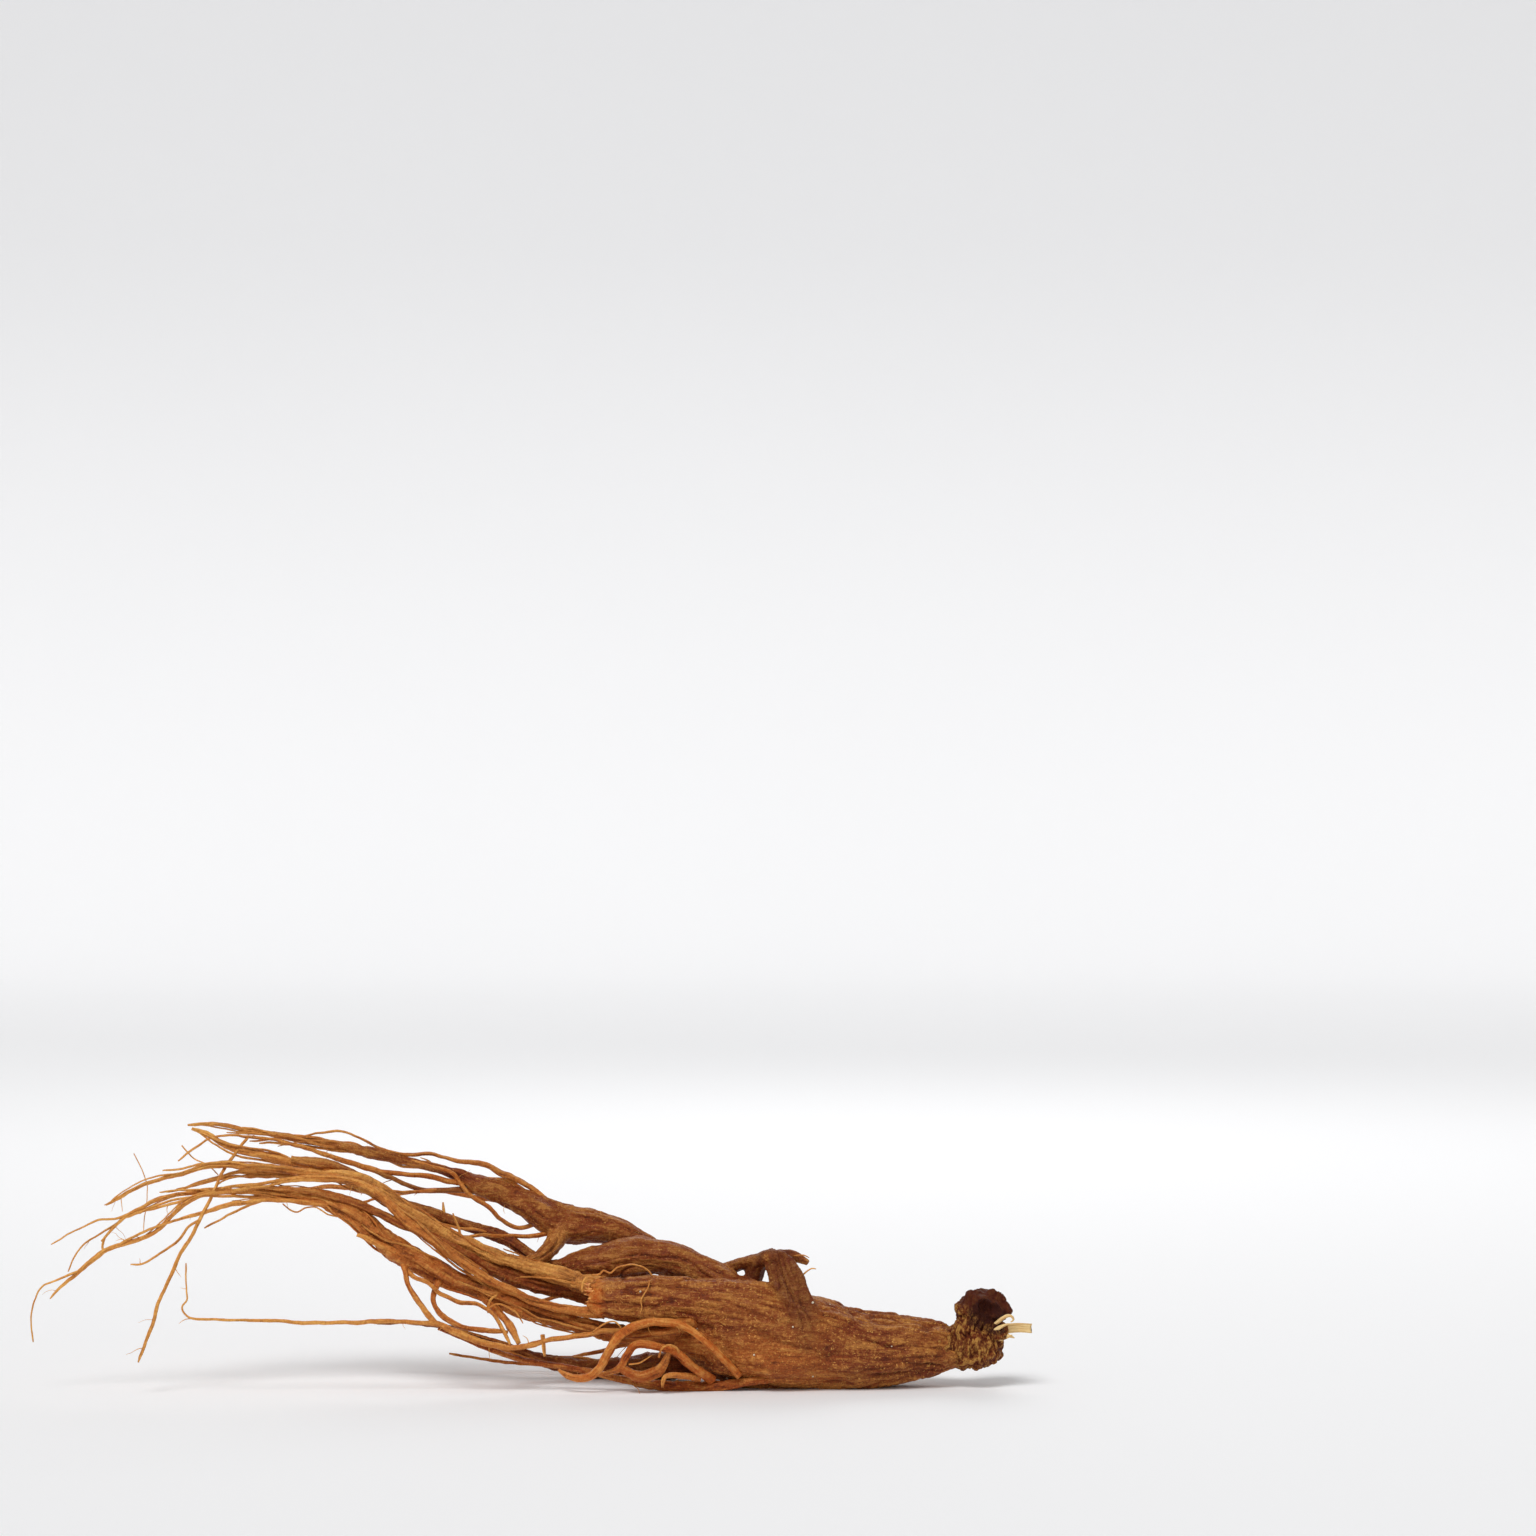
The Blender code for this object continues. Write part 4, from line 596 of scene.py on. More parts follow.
class GinsengForm(bpy.types.PropertyGroup):
    """Sizes of the dried skin, the crown's gnarls and the hairs."""

    ridge_width: length("Ridge width", "Distance between the long ridges of the skin", 1.7)
    ridge_length: length("Ridge length", "How far a ridge runs along a limb", 13.0)
    wrinkle_width: length("Wrinkle width", "Distance between the short cross wrinkles", 0.9)
    skin_depth: length("Skin depth", "Height of the skin's relief on a thick limb", 0.44)
    gnarl_depth: length("Gnarl depth", "Height of the crown's knots and folds", 0.42)
    hair_length: length("Hair length", "Length of the longest fine hair", 4.5)
    hair_count: IntProperty(
        name="Hairs", description="How many fine hairs the strands carry", default=90, min=0
    )


class GinsengColours(bpy.types.PropertyGroup):
    """Colours of the skin, the rootlets, the crown, the straw and the floor."""

    skin: colour("Skin", "The flesh's middle brown", 138, 70, 26)
    # Pale crests: partly the skin's own colour and partly painted highlight on the ridges
    skin_crest_and_highlight: colour("Skin crests", "The pale crests of the skin", 194, 128, 60)
    # Dark furrows: partly the skin's own colour and partly painted shade; also the painted shade of hollows
    # and of shaded limbs
    skin_furrow_and_shade: colour("Skin furrows", "The furrows of the skin", 84, 33, 12)
    skin_red: colour("Skin flush", "The redder patches of the flesh", 122, 52, 20)
    orange: colour("Rootlets", "The rootlets' orange", 194, 94, 27)
    # Rootlet furrows: partly their own colour and partly painted shade between the ridges
    orange_furrow_and_shade: colour("Rootlet furrows", "The furrows of the rootlets", 114, 46, 14)
    gold: colour("Pale rootlets", "The pale gold of the tips", 252, 188, 98)
    crown: colour("Crown", "The crown's middle brown", 122, 60, 24)
    # Golden crests: partly the crown's own gold and partly painted highlight
    crown_crest_and_highlight: colour("Crown crests", "The golden crests of the crown", 198, 142, 70)
    # The hood's own dark brown, also the painted shade of the crown's low folds and hollows
    crown_dark_and_shade: colour("Crown hollows", "The dark brown of the hood and the hollows", 76, 22, 10)
    straw: colour("Straw", "The dry stub of the stem", 250, 218, 156)
    straw_dark: colour("Straw furrows", "The furrows of the stub", 204, 152, 84)
    floor: colour("Floor", "The pale floor", 250, 250, 251)


GRADIENT_SEED = 7
GRADIENTS = np.random.default_rng(GRADIENT_SEED).normal(size=(256, 3))
GRADIENTS /= np.linalg.norm(GRADIENTS, axis=1)[:, None]


def grain(points, seed):
    """Smooth noise from about -1 to 1 at many points at once, one unit across a feature."""
    cell = np.floor(points)
    part = points - cell
    cell = cell.astype(np.int64)
    ease = part ** 3 * (part * (part * 6 - 15) + 10)
    total = np.zeros(len(points))
    for corner in range(8):
        step = np.array([corner & 1, corner >> 1 & 1, corner >> 2 & 1])
        x, y, z = (cell + step).T
        mixed = (x * 73856093) ^ (y * 19349663) ^ (z * 83492791) ^ (seed * 668265263)
        mixed = (mixed ^ (mixed >> 13)) * 1274126177
        which = (mixed ^ (mixed >> 16)) & 255
        share = np.where(step, ease, 1 - ease).prod(axis=1)
        total += share * (GRADIENTS[which] * (part - step)).sum(axis=1)
    return 1.7 * total


def rise(low, high, value):
    """0 up to low, 1 from high on and a smooth rise between; high may be the lower one."""
    share = np.clip((value - low) / (high - low), 0.0, 1.0)
    return share * share * (3 - 2 * share)


def curved(points, t):
    """The point at t, counted in route points, on a smooth curve through them (Catmull-Rom)."""
    last = len(points) - 1
    i = min(int(t), last - 1)
    f = t - i
    a, b, c, d = (Vector(points[min(max(k, 0), last)]) for k in (i - 1, i, i + 1, i + 2))
    square, cube = 2 * a - 5 * b + 4 * c - d, 3 * b - a - 3 * c + d
    return 0.5 * (2 * b + (c - a) * f + square * f ** 2 + cube * f ** 3)


def stations(route, gap, seed):
    """Centres, radii and lengths along a route, a gap apart, wandering as in the solids."""
    fine = [curved(route, k / CURVE_STEPS) for k in range(CURVE_STEPS * (len(route) - 1) + 1)]
    lengths = [0.0]
    for a, b in zip(fine, fine[1:]):
        lengths.append(lengths[-1] + (b - a).xyz.length)
    count = max(3, round(lengths[-1] / gap))
    made = []
    k = 0
    for n in range(count + 1):
        along = lengths[-1] * n / count
        while k < len(lengths) - 2 and lengths[k + 1] < along:
            k += 1
        share = (along - lengths[k]) / (lengths[k + 1] - lengths[k])
        at = fine[k].lerp(fine[k + 1], share)
        wander = min(WANDER_SHARE * at.w, WANDER_MOST) * min(1.0, along / WANDER_LENGTH)
        drift = noise.noise_vector(Vector((along / WANDER_LENGTH, WANDER_LANES[0] * seed, WANDER_LANES[1])))
        made.append((at.xyz + wander * drift, at.w, along))
    return made


def frames(centres):
    """A turning frame for each centre that follows the line without twisting about it."""
    made = []
    side = Vector((0, -1, 0))
    for k, centre in enumerate(centres):
        ahead = centres[min(k + 1, len(centres) - 1)] - centres[max(k - 1, 0)]
        ahead.normalize()
        side = (side - ahead * side.dot(ahead)).normalized()
        made.append((side, ahead.cross(side), ahead))
    return made


class Course:
    """A limb's line as arrays: its centres, radii, lengths along and turning frames."""

    def __init__(self, route, gap, seed):
        places = stations(route, gap, seed)
        turned = frames([place[0] for place in places])
        self.centre = np.array([place[0] for place in places])
        self.radius = np.array([place[1] for place in places])
        self.along = np.array([place[2] for place in places])
        self.side, self.up, self.ahead = (np.array([frame[k] for frame in turned]) for k in range(3))
        self.seed = seed

    def place(self, points):
        """For many points: turn round the limb, length along it, its radius there and the distance out."""
        near = ((self.centre ** 2).sum(axis=1) - 2 * points @ self.centre.T).argmin(axis=1)
        along = self.along[near] + ((points - self.centre[near]) * self.ahead[near]).sum(axis=1)
        along = np.clip(along, self.along[0], self.along[-1])
        centre, side, up = (
            np.stack([np.interp(along, self.along, line[:, k]) for k in range(3)], axis=1)
            for line in (self.centre, self.side, self.up)
        )
        out = points - centre
        x, y = (out * side).sum(axis=1), (out * up).sum(axis=1)
        radius = np.interp(along, self.along, self.radius)
        return np.arctan2(y, x), along, radius, np.linalg.norm(out, axis=1)


def round_limb(turn, along, cells, run):
    """Places for a noise that has so many cells to a limb's radius and a run of so many millimetres."""
    return np.stack([cells * np.cos(turn), cells * np.sin(turn), along / run], axis=1)


def skin_height(turn, along, radius, seed):
    """Height of the dried skin, about -1 to 1: long ridges, finer ones and short cross wrinkles."""
    form = bpy.context.scene.ginseng_form
    width, run, cross_run = form.ridge_width / MM, form.ridge_length / MM, form.wrinkle_width / MM
    sway = 0.7 * grain(round_limb(turn, along, 0.9, 8.0), seed + 11)
    along = along + 0.8 * cross_run * sway
    cells = np.maximum(radius / width, 1.0)
    long = grain(round_limb(turn, along, cells, run) + 0.5 * sway[:, None], seed)
    fine = grain(round_limb(turn, along, 2.0 * cells, 0.45 * run), seed + 5)
    cross = grain(round_limb(turn, along, 0.8 * cells, cross_run), seed + 7)
    deep = grain(round_limb(turn, along, 0.5 * cells, 1.7 * run) + 0.4 * sway[:, None], seed + 3)
    furrows = 1 - 2.4 * np.exp(-(long / 0.2) ** 2)
    crests = 1 - 2 * np.exp(-(fine / 0.28) ** 2)
    clefts = 1 - 2.4 * np.exp(-(deep / 0.1) ** 2)
    return 0.4 * clefts + 0.25 * furrows + 0.2 * crests + 0.15 * np.clip(1.6 * cross, -1, 1)


def skin_fleck(turn, along, radius, seed):
    """Light and dark flecks of the skin, 0 to 1: fine streaks crossed by short ticks."""
    streaks = grain(round_limb(turn, along, np.maximum(radius / 0.7, 1.2), 5.5), seed + 21)
    ticks = grain(round_limb(turn, along, np.maximum(radius / 1.3, 0.8), 0.7), seed + 22)
    return np.clip(0.5 + 0.5 * streaks + 0.5 * ticks, 0, 1)


def loft(rings, layers=None):
    """A closed bmesh through rings of points, each ring pushed out of the one before it.

    layers gives each layer's value at each point of each ring, a number or a vector.
    """
    bm = bmesh.new()
    stores = {}
    for name, values in (layers or {}).items():
        kinds = bm.verts.layers.float if np.ndim(values) == 2 else bm.verts.layers.float_vector
        stores[kinds.new(name)] = values
    bmesh.ops.create_circle(bm, cap_ends=True, segments=len(rings[0]), radius=1)
    bm.faces.ensure_lookup_table()
    end = bm.faces[0]
    start_edges = list(end.edges)
    for k, ring in enumerate(rings):
        if k:
            end = bmesh.ops.extrude_discrete_faces(bm, faces=[end])["faces"][0]
        for n, (vert, point) in enumerate(zip(end.verts, ring)):
            vert.co = point
            for store, values in stores.items():
                vert[store] = values[k][n]
    bmesh.ops.contextual_create(bm, geom=[edge for edge in start_edges if edge.is_valid])
    bmesh.ops.recalc_face_normals(bm, faces=bm.faces)
    return bm


def as_object(name, bm):
    """A bmesh as an object of the scene, with smooth faces."""
    mesh = bpy.data.meshes.new(name)
    bm.to_mesh(mesh)
    bm.free()
    mesh.shade_smooth()
    made = bpy.data.objects.new(name, mesh)
    bpy.context.scene.collection.objects.link(made)
    return made


def joined(name, things):
    """Many objects joined into one, which keeps their layers."""
    with bpy.context.temp_override(
        active_object=things[0], object=things[0], selected_objects=things, selected_editable_objects=things
    ):
        bpy.ops.object.join()
    things[0].name = things[0].data.name = name
    return things[0]


def modified(thing, kind, **settings):
    """Applies one modifier by putting the evaluated mesh in place of the object's own."""
    modifier = thing.modifiers.new(kind.lower(), kind)
    for name, value in settings.items():
        setattr(modifier, name, value)
    graph = bpy.context.evaluated_depsgraph_get()
    mesh = bpy.data.meshes.new_from_object(thing.evaluated_get(graph))
    thing.modifiers.clear()
    old, thing.data = thing.data, mesh
    bpy.data.meshes.remove(old)


def positions(mesh):
    values = np.empty(3 * len(mesh.vertices))
    mesh.vertices.foreach_get("co", values)
    return values.reshape(-1, 3)


def outwards(mesh):
    values = np.empty(3 * len(mesh.vertices))
    mesh.vertex_normals.foreach_get("vector", values)
    return values.reshape(-1, 3)


def move_to(mesh, points):
    mesh.vertices.foreach_set("co", points.ravel())
    mesh.update()


def write_layer(mesh, name, values):
    """Stores a number or a vector at each vertex for the material to read."""
    single = values.ndim == 1
    layer = mesh.attributes.new(name, "FLOAT" if single else "FLOAT_VECTOR", "POINT")
    layer.data.foreach_set("value" if single else "vector", values.astype(np.float32).ravel())


def hollowness(mesh, rounds):
    """How far each vertex lies below its surroundings, in millimetres, and their middle."""
    points = positions(mesh)
    edges = np.empty(2 * len(mesh.edges), dtype=np.int32)
    mesh.edges.foreach_get("vertices", edges)
    a, b = edges.reshape(-1, 2).T
    total = len(points)
    count = np.bincount(a, minlength=total) + np.bincount(b, minlength=total)
    smooth = points
    for _ in range(rounds):
        sums = [np.bincount(a, smooth[b, k], total) + np.bincount(b, smooth[a, k], total) for k in range(3)]
        smooth = np.stack(sums, axis=1) / count[:, None]
    return ((smooth - points) * outwards(mesh)).sum(axis=1), smooth


def coarse_limb(name, route, sides, gap, seed, reach=math.inf):
    """A thick limb as the solids have it, with finer rings, which fades out past its reach."""
    places = stations(route, gap, seed)
    rings = []
    for (centre, radius, along), (side, up, _) in zip(places, frames([place[0] for place in places])):
        if along > reach + FLESH_FADE:
            break
        radius *= 1 - 0.7 * float(rise(reach, reach + FLESH_FADE, along)) if reach < math.inf else 1
        ring = []
        for k in range(sides):
            turn = 2 * math.pi * k / sides
            out = math.cos(turn) * side + math.sin(turn) * up
            ridge = RIDGE_DEPTH * math.cos(RIDGE_COUNT * turn + RIDGE_TWIST * along + seed)
            lane = Vector((along / LUMP_LENGTH, 0, LUMP_LANE * seed))
            lump = LUMP_DEPTH * noise.noise(lane + LUMP_SPREAD * out)
            ring.append(centre + out * radius * (1 + ridge + lump))
        rings.append(ring)
    return as_object(name, loft(rings))


def fold_leaf():
    """The flattened fold, an oval section that stands up from the taproot, with a rolled edge."""
    wide = [(*centre, half_width) for centre, half_width, _ in FOLD]
    deep = [(*centre, half_depth) for centre, _, half_depth in FOLD]
    rings = []
    for k in range(FOLD_STEPS * (len(FOLD) - 1) + 1):
        t = k / FOLD_STEPS
        at, half_depth = curved(wide, t), curved(deep, t).w
        turn_by = FOLD_TWIST * t
        across = Vector((math.cos(turn_by), -math.sin(turn_by), FOLD_WIDTH_LEAN)).normalized()
        through = Vector((math.sin(turn_by), math.cos(turn_by), FOLD_DEPTH_LEAN)).normalized()
        ring = []
        for n in range(FLESH_SIDES):
            turn = 2 * math.pi * n / FLESH_SIDES
            roll = FOLD_ROLL * abs(math.cos(turn)) ** 3
            ring.append(
                at.xyz + across * FOLD_SPREAD * at.w * math.cos(turn)
                + through * (half_depth * math.sin(turn) - roll)
            )
        rings.append(ring)
    return as_object("fold", loft(rings))


def gnarled_ball(name, shape, gnarl, segments=48):
    """A stretched ball with the solids' gnarled surface."""
    centre, half_sizes = (Vector(values) for values in shape)
    bm = bmesh.new()
    bmesh.ops.create_uvsphere(bm, u_segments=segments, v_segments=segments * 2 // 3, radius=1)
    for vert in bm.verts:
        out = vert.co * half_sizes
        vert.co = centre + out * (1 + gnarl * noise.noise((centre + out) / GNARL_LENGTH))
    return as_object(name, bm)


def strip_rings(count, section, end_wander=0.0):
    """Rings of the stem stub's flat strip, in millimetres along the routes."""
    run = STUB_END - STUB_START
    ahead = run.normalized()
    up = (Vector((0, 0, 1)) - ahead * ahead.z).normalized()
    through = ahead.cross(up)
    rings = []
    for k in range(count):
        share = k / (count - 1)
        centre = STUB_START + run * share + up * STUB_BEND * math.sin(math.pi * share)
        rings.append([
            centre + up * STUB_HALF_HEIGHT * u + through * STUB_HALF_DEPTH * v
            + ahead * end_wander * share ** 8 * noise.noise(Vector((3.1 * u, 2.3 * v, 8.0)))
            for u, v in section
        ])
    return rings


def routes_in_frame():
    """The move from the routes' millimetres to the frame's metres, read from the stub's box."""
    points = [point for ring in strip_rings(STUB_STATIONS, STUB_SECTION) for point in ring]
    own = (Vector(map(min, *points)) + Vector(map(max, *points))) / 2
    low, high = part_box(STUB_NODE)
    return Matrix.Translation((low + high) / 2 - own * MM) @ Matrix.Scale(MM, 4)


TO_FRAME = routes_in_frame()


def settle(thing, material, replaced):
    """Puts a finished piece in the frame, on the root's body, with its finish."""
    thing.data.transform(TO_FRAME)
    thing.data.update()
    thing.data.materials.clear()
    thing.data.materials.append(material)
    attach(thing, "root")
    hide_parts(replaced)
    return thing


class Value:
    """A shader value. Python's operators on it add Math nodes to its material."""

    def __init__(self, paint, socket):
        self.paint, self.socket = paint, socket

    def join(self, operation, first, second):
        return self.paint.node("ShaderNodeMath", {"operation": operation}, {0: first, 1: second})

    def __add__(self, other):
        return self.join("ADD", self, other)

    def __radd__(self, other):
        return self.join("ADD", other, self)

    def __sub__(self, other):
        return self.join("SUBTRACT", self, other)

    def __rsub__(self, other):
        return self.join("SUBTRACT", other, self)

    def __mul__(self, other):
        return self.join("MULTIPLY", self, other)

    def __rmul__(self, other):
        return self.join("MULTIPLY", other, self)


class Paint:
    """A material in the making; node() adds any node and returns one of its outputs."""

    def __init__(self, name, constants=None):
        self.material = bpy.data.materials.new(name)
        self.material.use_nodes = True
        self.tree = self.material.node_tree
        self.shader = self.tree.nodes["Principled BSDF"]
        self.fill(self.shader, constants or {})

    def fill(self, node, inputs):
        for key, value in inputs.items():
            if isinstance(value, Value):
                self.tree.links.new(value.socket, node.inputs[key])
            else:
                node.inputs[key].default_value = value

    def node(self, kind, settings=None, inputs=None, output=0):
        made = self.tree.nodes.new(kind)
        for key, value in (settings or {}).items():
            setattr(made, key, value)
        self.fill(made, inputs or {})
        return Value(self, made.outputs[output])

    def layer(self, name, output="Fac"):
        return self.node("ShaderNodeAttribute", {"attribute_name": name}, output=output)

    def grain(self, place, stretch, detail=2.0, roughness=0.55):
        """Noise from 0 to 1 on a place in millimetres, with features per millimetre on each axis."""
        moved = self.node("ShaderNodeVectorMath", {"operation": "MULTIPLY"}, {0: place, 1: stretch})
        inputs = {"Vector": moved, "Scale": 1.0, "Detail": detail, "Roughness": roughness, "Distortion": 0.9}
        return self.node("ShaderNodeTexNoise", inputs=inputs)

    def rise(self, low, high, value):
        """0 up to low, 1 from high on and a smooth rise between."""
        smooth = {"interpolation_type": "SMOOTHSTEP"}
        return self.node("ShaderNodeMapRange", smooth, {0: value, 1: low, 2: high})

    def mix(self, share, first, second):
        """A colour that goes from the first to the second; a plain colour has three numbers."""
        first, second = (c if isinstance(c, Value) else (*c, 1.0) for c in (first, second))
        return self.node("ShaderNodeMix", {"data_type": "RGBA"}, {0: share, 6: first, 7: second}, output=2)

    def parts(self, vector):
        split = self.tree.nodes.new("ShaderNodeSeparateXYZ")
        self.fill(split, {0: vector})
        return [Value(self, socket) for socket in split.outputs]

    def finish(self, base, rough, height, depth, strength=1.0):
        """Feeds the colour, the roughness and a relief of a depth in metres."""
        relief = {"Height": height, "Distance": depth, "Strength": strength}
        normal = self.node("ShaderNodeBump", inputs=relief)
        self.fill(self.shader, {"Base Color": base, "Roughness": rough, "Normal": normal})
        return self.material


def skin_finish(name, along_limb):
    """Dried root skin: pale crests and dark furrows, partly its own colour and partly painted highlight and
    painted shade, fine flecks, painted shade in the hollows and on shaded limbs, and a waxy gloss.
    """
    tints = bpy.context.scene.ginseng_colours
    paint = Paint(name, {"Coat Weight": 0.04, "Coat Roughness": 0.3, "Specular IOR Level": 0.2})
    place = paint.node("ShaderNodeTexCoord", output="Object")
    place = paint.node("ShaderNodeVectorMath", {"operation": "SCALE"}, {0: place, "Scale": 1 / MM})
    relief, fleck = paint.layer("relief"), paint.layer("fleck")
    hollow_and_painted_shade = 0.0 if along_limb else paint.layer("hollow_and_painted_shade")
    orange, gold, dark = paint.parts(paint.layer("tone", "Vector"))
    if along_limb:
        limb = paint.layer("limb", "Vector")
        lines, ticks = paint.grain(limb, (3.0, 3.0, 0.35)), paint.grain(limb, (1.1, 1.1, 2.2))
    else:
        lines, ticks = paint.grain(place, (0.5, 2.3, 2.3)), paint.grain(place, (2.3, 1.5, 1.5))
    lines, ticks = paint.rise(0.34, 0.66, lines), paint.rise(0.34, 0.66, ticks)
    patch = paint.grain(place, (0.1, 0.16, 0.16), 2.0)
    bands = paint.rise(0.34, 0.66, paint.grain(place, (0.09, 0.42, 0.42), 2.0))
    # Pale on the crests and dark in the furrows: partly the skin's own colour and partly painted highlight
    # and painted shade
    crest = 0.42 * relief + 0.14 * fleck + 0.19 * lines + 0.15 * ticks + 0.18 * bands
    pale = paint.rise(0.46, 0.88, crest)
    deep = paint.rise(0.5, 0.2, crest)
    glint = paint.rise(0.64, 0.72, paint.grain(place, (1.8, 2.6, 2.6), 1.0))
    flesh = paint.mix(paint.rise(0.42, 0.6, patch), tints.skin, tints.skin_red)
    flesh = paint.mix(pale * 0.9, flesh, tints.skin_crest_and_highlight)
    flesh = paint.mix(deep * 0.9, flesh, tints.skin_furrow_and_shade)
    flesh = paint.mix(glint * 0.6, flesh, tints.gold)
    # Rootlets darker in the furrows and paler on the crests: partly their own colour and partly painted
    # shade and painted highlight
    rootlet = paint.mix(deep * 0.9, tints.orange, tints.orange_furrow_and_shade)
    rootlet = paint.mix(pale * 0.42, rootlet, tints.gold)
    base = paint.mix(orange, flesh, rootlet)
    base = paint.mix(gold * (0.55 + 0.45 * pale) * (1 - 0.5 * deep), base, tints.gold)
    # Painted shade on the limbs whose tone has a dark share
    base = paint.mix(dark * 0.9, base, tints.skin_furrow_and_shade)
    # Painted shade in the hollows and creases between the limbs
    base = paint.mix(hollow_and_painted_shade * 0.75, base, tints.skin_furrow_and_shade)
    rough = 0.6 - 0.16 * lines - 0.12 * glint
    height = 0.5 * lines + 0.5 * ticks + 0.4 * fleck
    return paint.finish(base, rough, height, 0.00028, 0.9)


def crown_finish():
    """The crown's scars: golden crests over dark brown, partly their own colour and partly painted highlight
    and painted shade, with painted shade in the hollows and a near-black painted shade inside the glossy
    scoop.
    """
    tints = bpy.context.scene.ginseng_colours
    paint = Paint("crown_skin", {"Coat Weight": 0.02, "Coat Roughness": 0.25, "Specular IOR Level": 0.16})
    place = paint.node("ShaderNodeTexCoord", output="Object")
    place = paint.node("ShaderNodeVectorMath", {"operation": "SCALE"}, {0: place, "Scale": 1 / MM})
    relief, hollow_and_painted_shade, scoop_inside_shade, hood = (paint.layer(name) for name in ("relief", "hollow_and_painted_shade", "scoop_inside_shade", "hood"))
    wavy = paint.rise(0.34, 0.66, paint.grain(place, (2.0, 1.6, 0.8), 2.0))
    grit = paint.rise(0.3, 0.7, paint.grain(place, (2.6, 2.6, 2.6), 3.0, 0.6))
    patch = paint.grain(place, (0.35, 0.35, 0.35), 2.0)
    crest = 0.5 * relief + 0.25 * grit + 0.25 * wavy
    pale = paint.rise(0.42, 0.76, crest)
    base = paint.mix(paint.rise(0.42, 0.6, patch), tints.crown, tints.skin_red)
    # Golden crests: partly their own colour and partly painted highlight
    base = paint.mix(pale * (1 - 0.6 * hood), base, tints.crown_crest_and_highlight)
    base = paint.mix(hood * 0.72, base, tints.crown_dark_and_shade)
    # Darker in the low folds: partly their own colour and partly painted shade
    base = paint.mix(paint.rise(0.48, 0.22, crest) * 0.85, base, tints.crown_dark_and_shade)
    # Painted shade in the crown's hollows
    base = paint.mix(hollow_and_painted_shade * 0.6, base, tints.crown_dark_and_shade)
    # Near-black painted shade inside the scoop
    base = paint.mix(scoop_inside_shade * (0.95 - 0.4 * pale), base, (0.045, 0.007, 0.003))
    rough = 0.55 - 0.15 * scoop_inside_shade + 0.12 * grit
    return paint.finish(base, rough, grit + 0.6 * wavy, 0.0003, 0.8)


def straw_finish():
    """Dry straw: pale fibres that run along the strip."""
    tints = bpy.context.scene.ginseng_colours
    paint = Paint("straw", {"Specular IOR Level": 0.35})
    limb = paint.layer("limb", "Vector")
    fibres = paint.grain(limb, (5.0, 5.0, 0.35), 3.0, 0.6)
    patch = paint.grain(limb, (0.5, 0.5, 0.25), 1.0)
    base = paint.mix(paint.rise(0.58, 0.36, fibres) * 0.8, tints.straw, tints.straw_dark)
    base = paint.mix(paint.rise(0.5, 0.7, patch) * 0.4, base, tints.straw_dark)
    return paint.finish(base, 0.6 + 0.15 * fibres, fibres, 0.0002, 0.7)


def torn_finish():
    """Torn fibres: orange with pale edges."""
    tints = bpy.context.scene.ginseng_colours
    paint = Paint("torn_fibre", {"Coat Weight": 0.15, "Coat Roughness": 0.3})
    limb = paint.layer("limb", "Vector")
    fibres = paint.grain(limb, (4.0, 4.0, 0.6), 2.0)
    base = paint.mix(paint.rise(0.4, 0.65, fibres), tints.orange, tints.gold)
    return paint.finish(base, 0.42 + 0.2 * fibres, fibres, 0.0002, 0.6)


def crumb_finish():
    paint = Paint("pale_crumb", {"Specular IOR Level": 0.6})
    place = paint.node("ShaderNodeTexCoord", output="Object")
    grit = paint.grain(place, (9000.0, 9000.0, 9000.0), 1.0)
    return paint.finish(paint.mix(grit, (0.9, 0.84, 0.7), (0.7, 0.55, 0.33)), 0.3 + 0.2 * grit, grit, 0.0001)


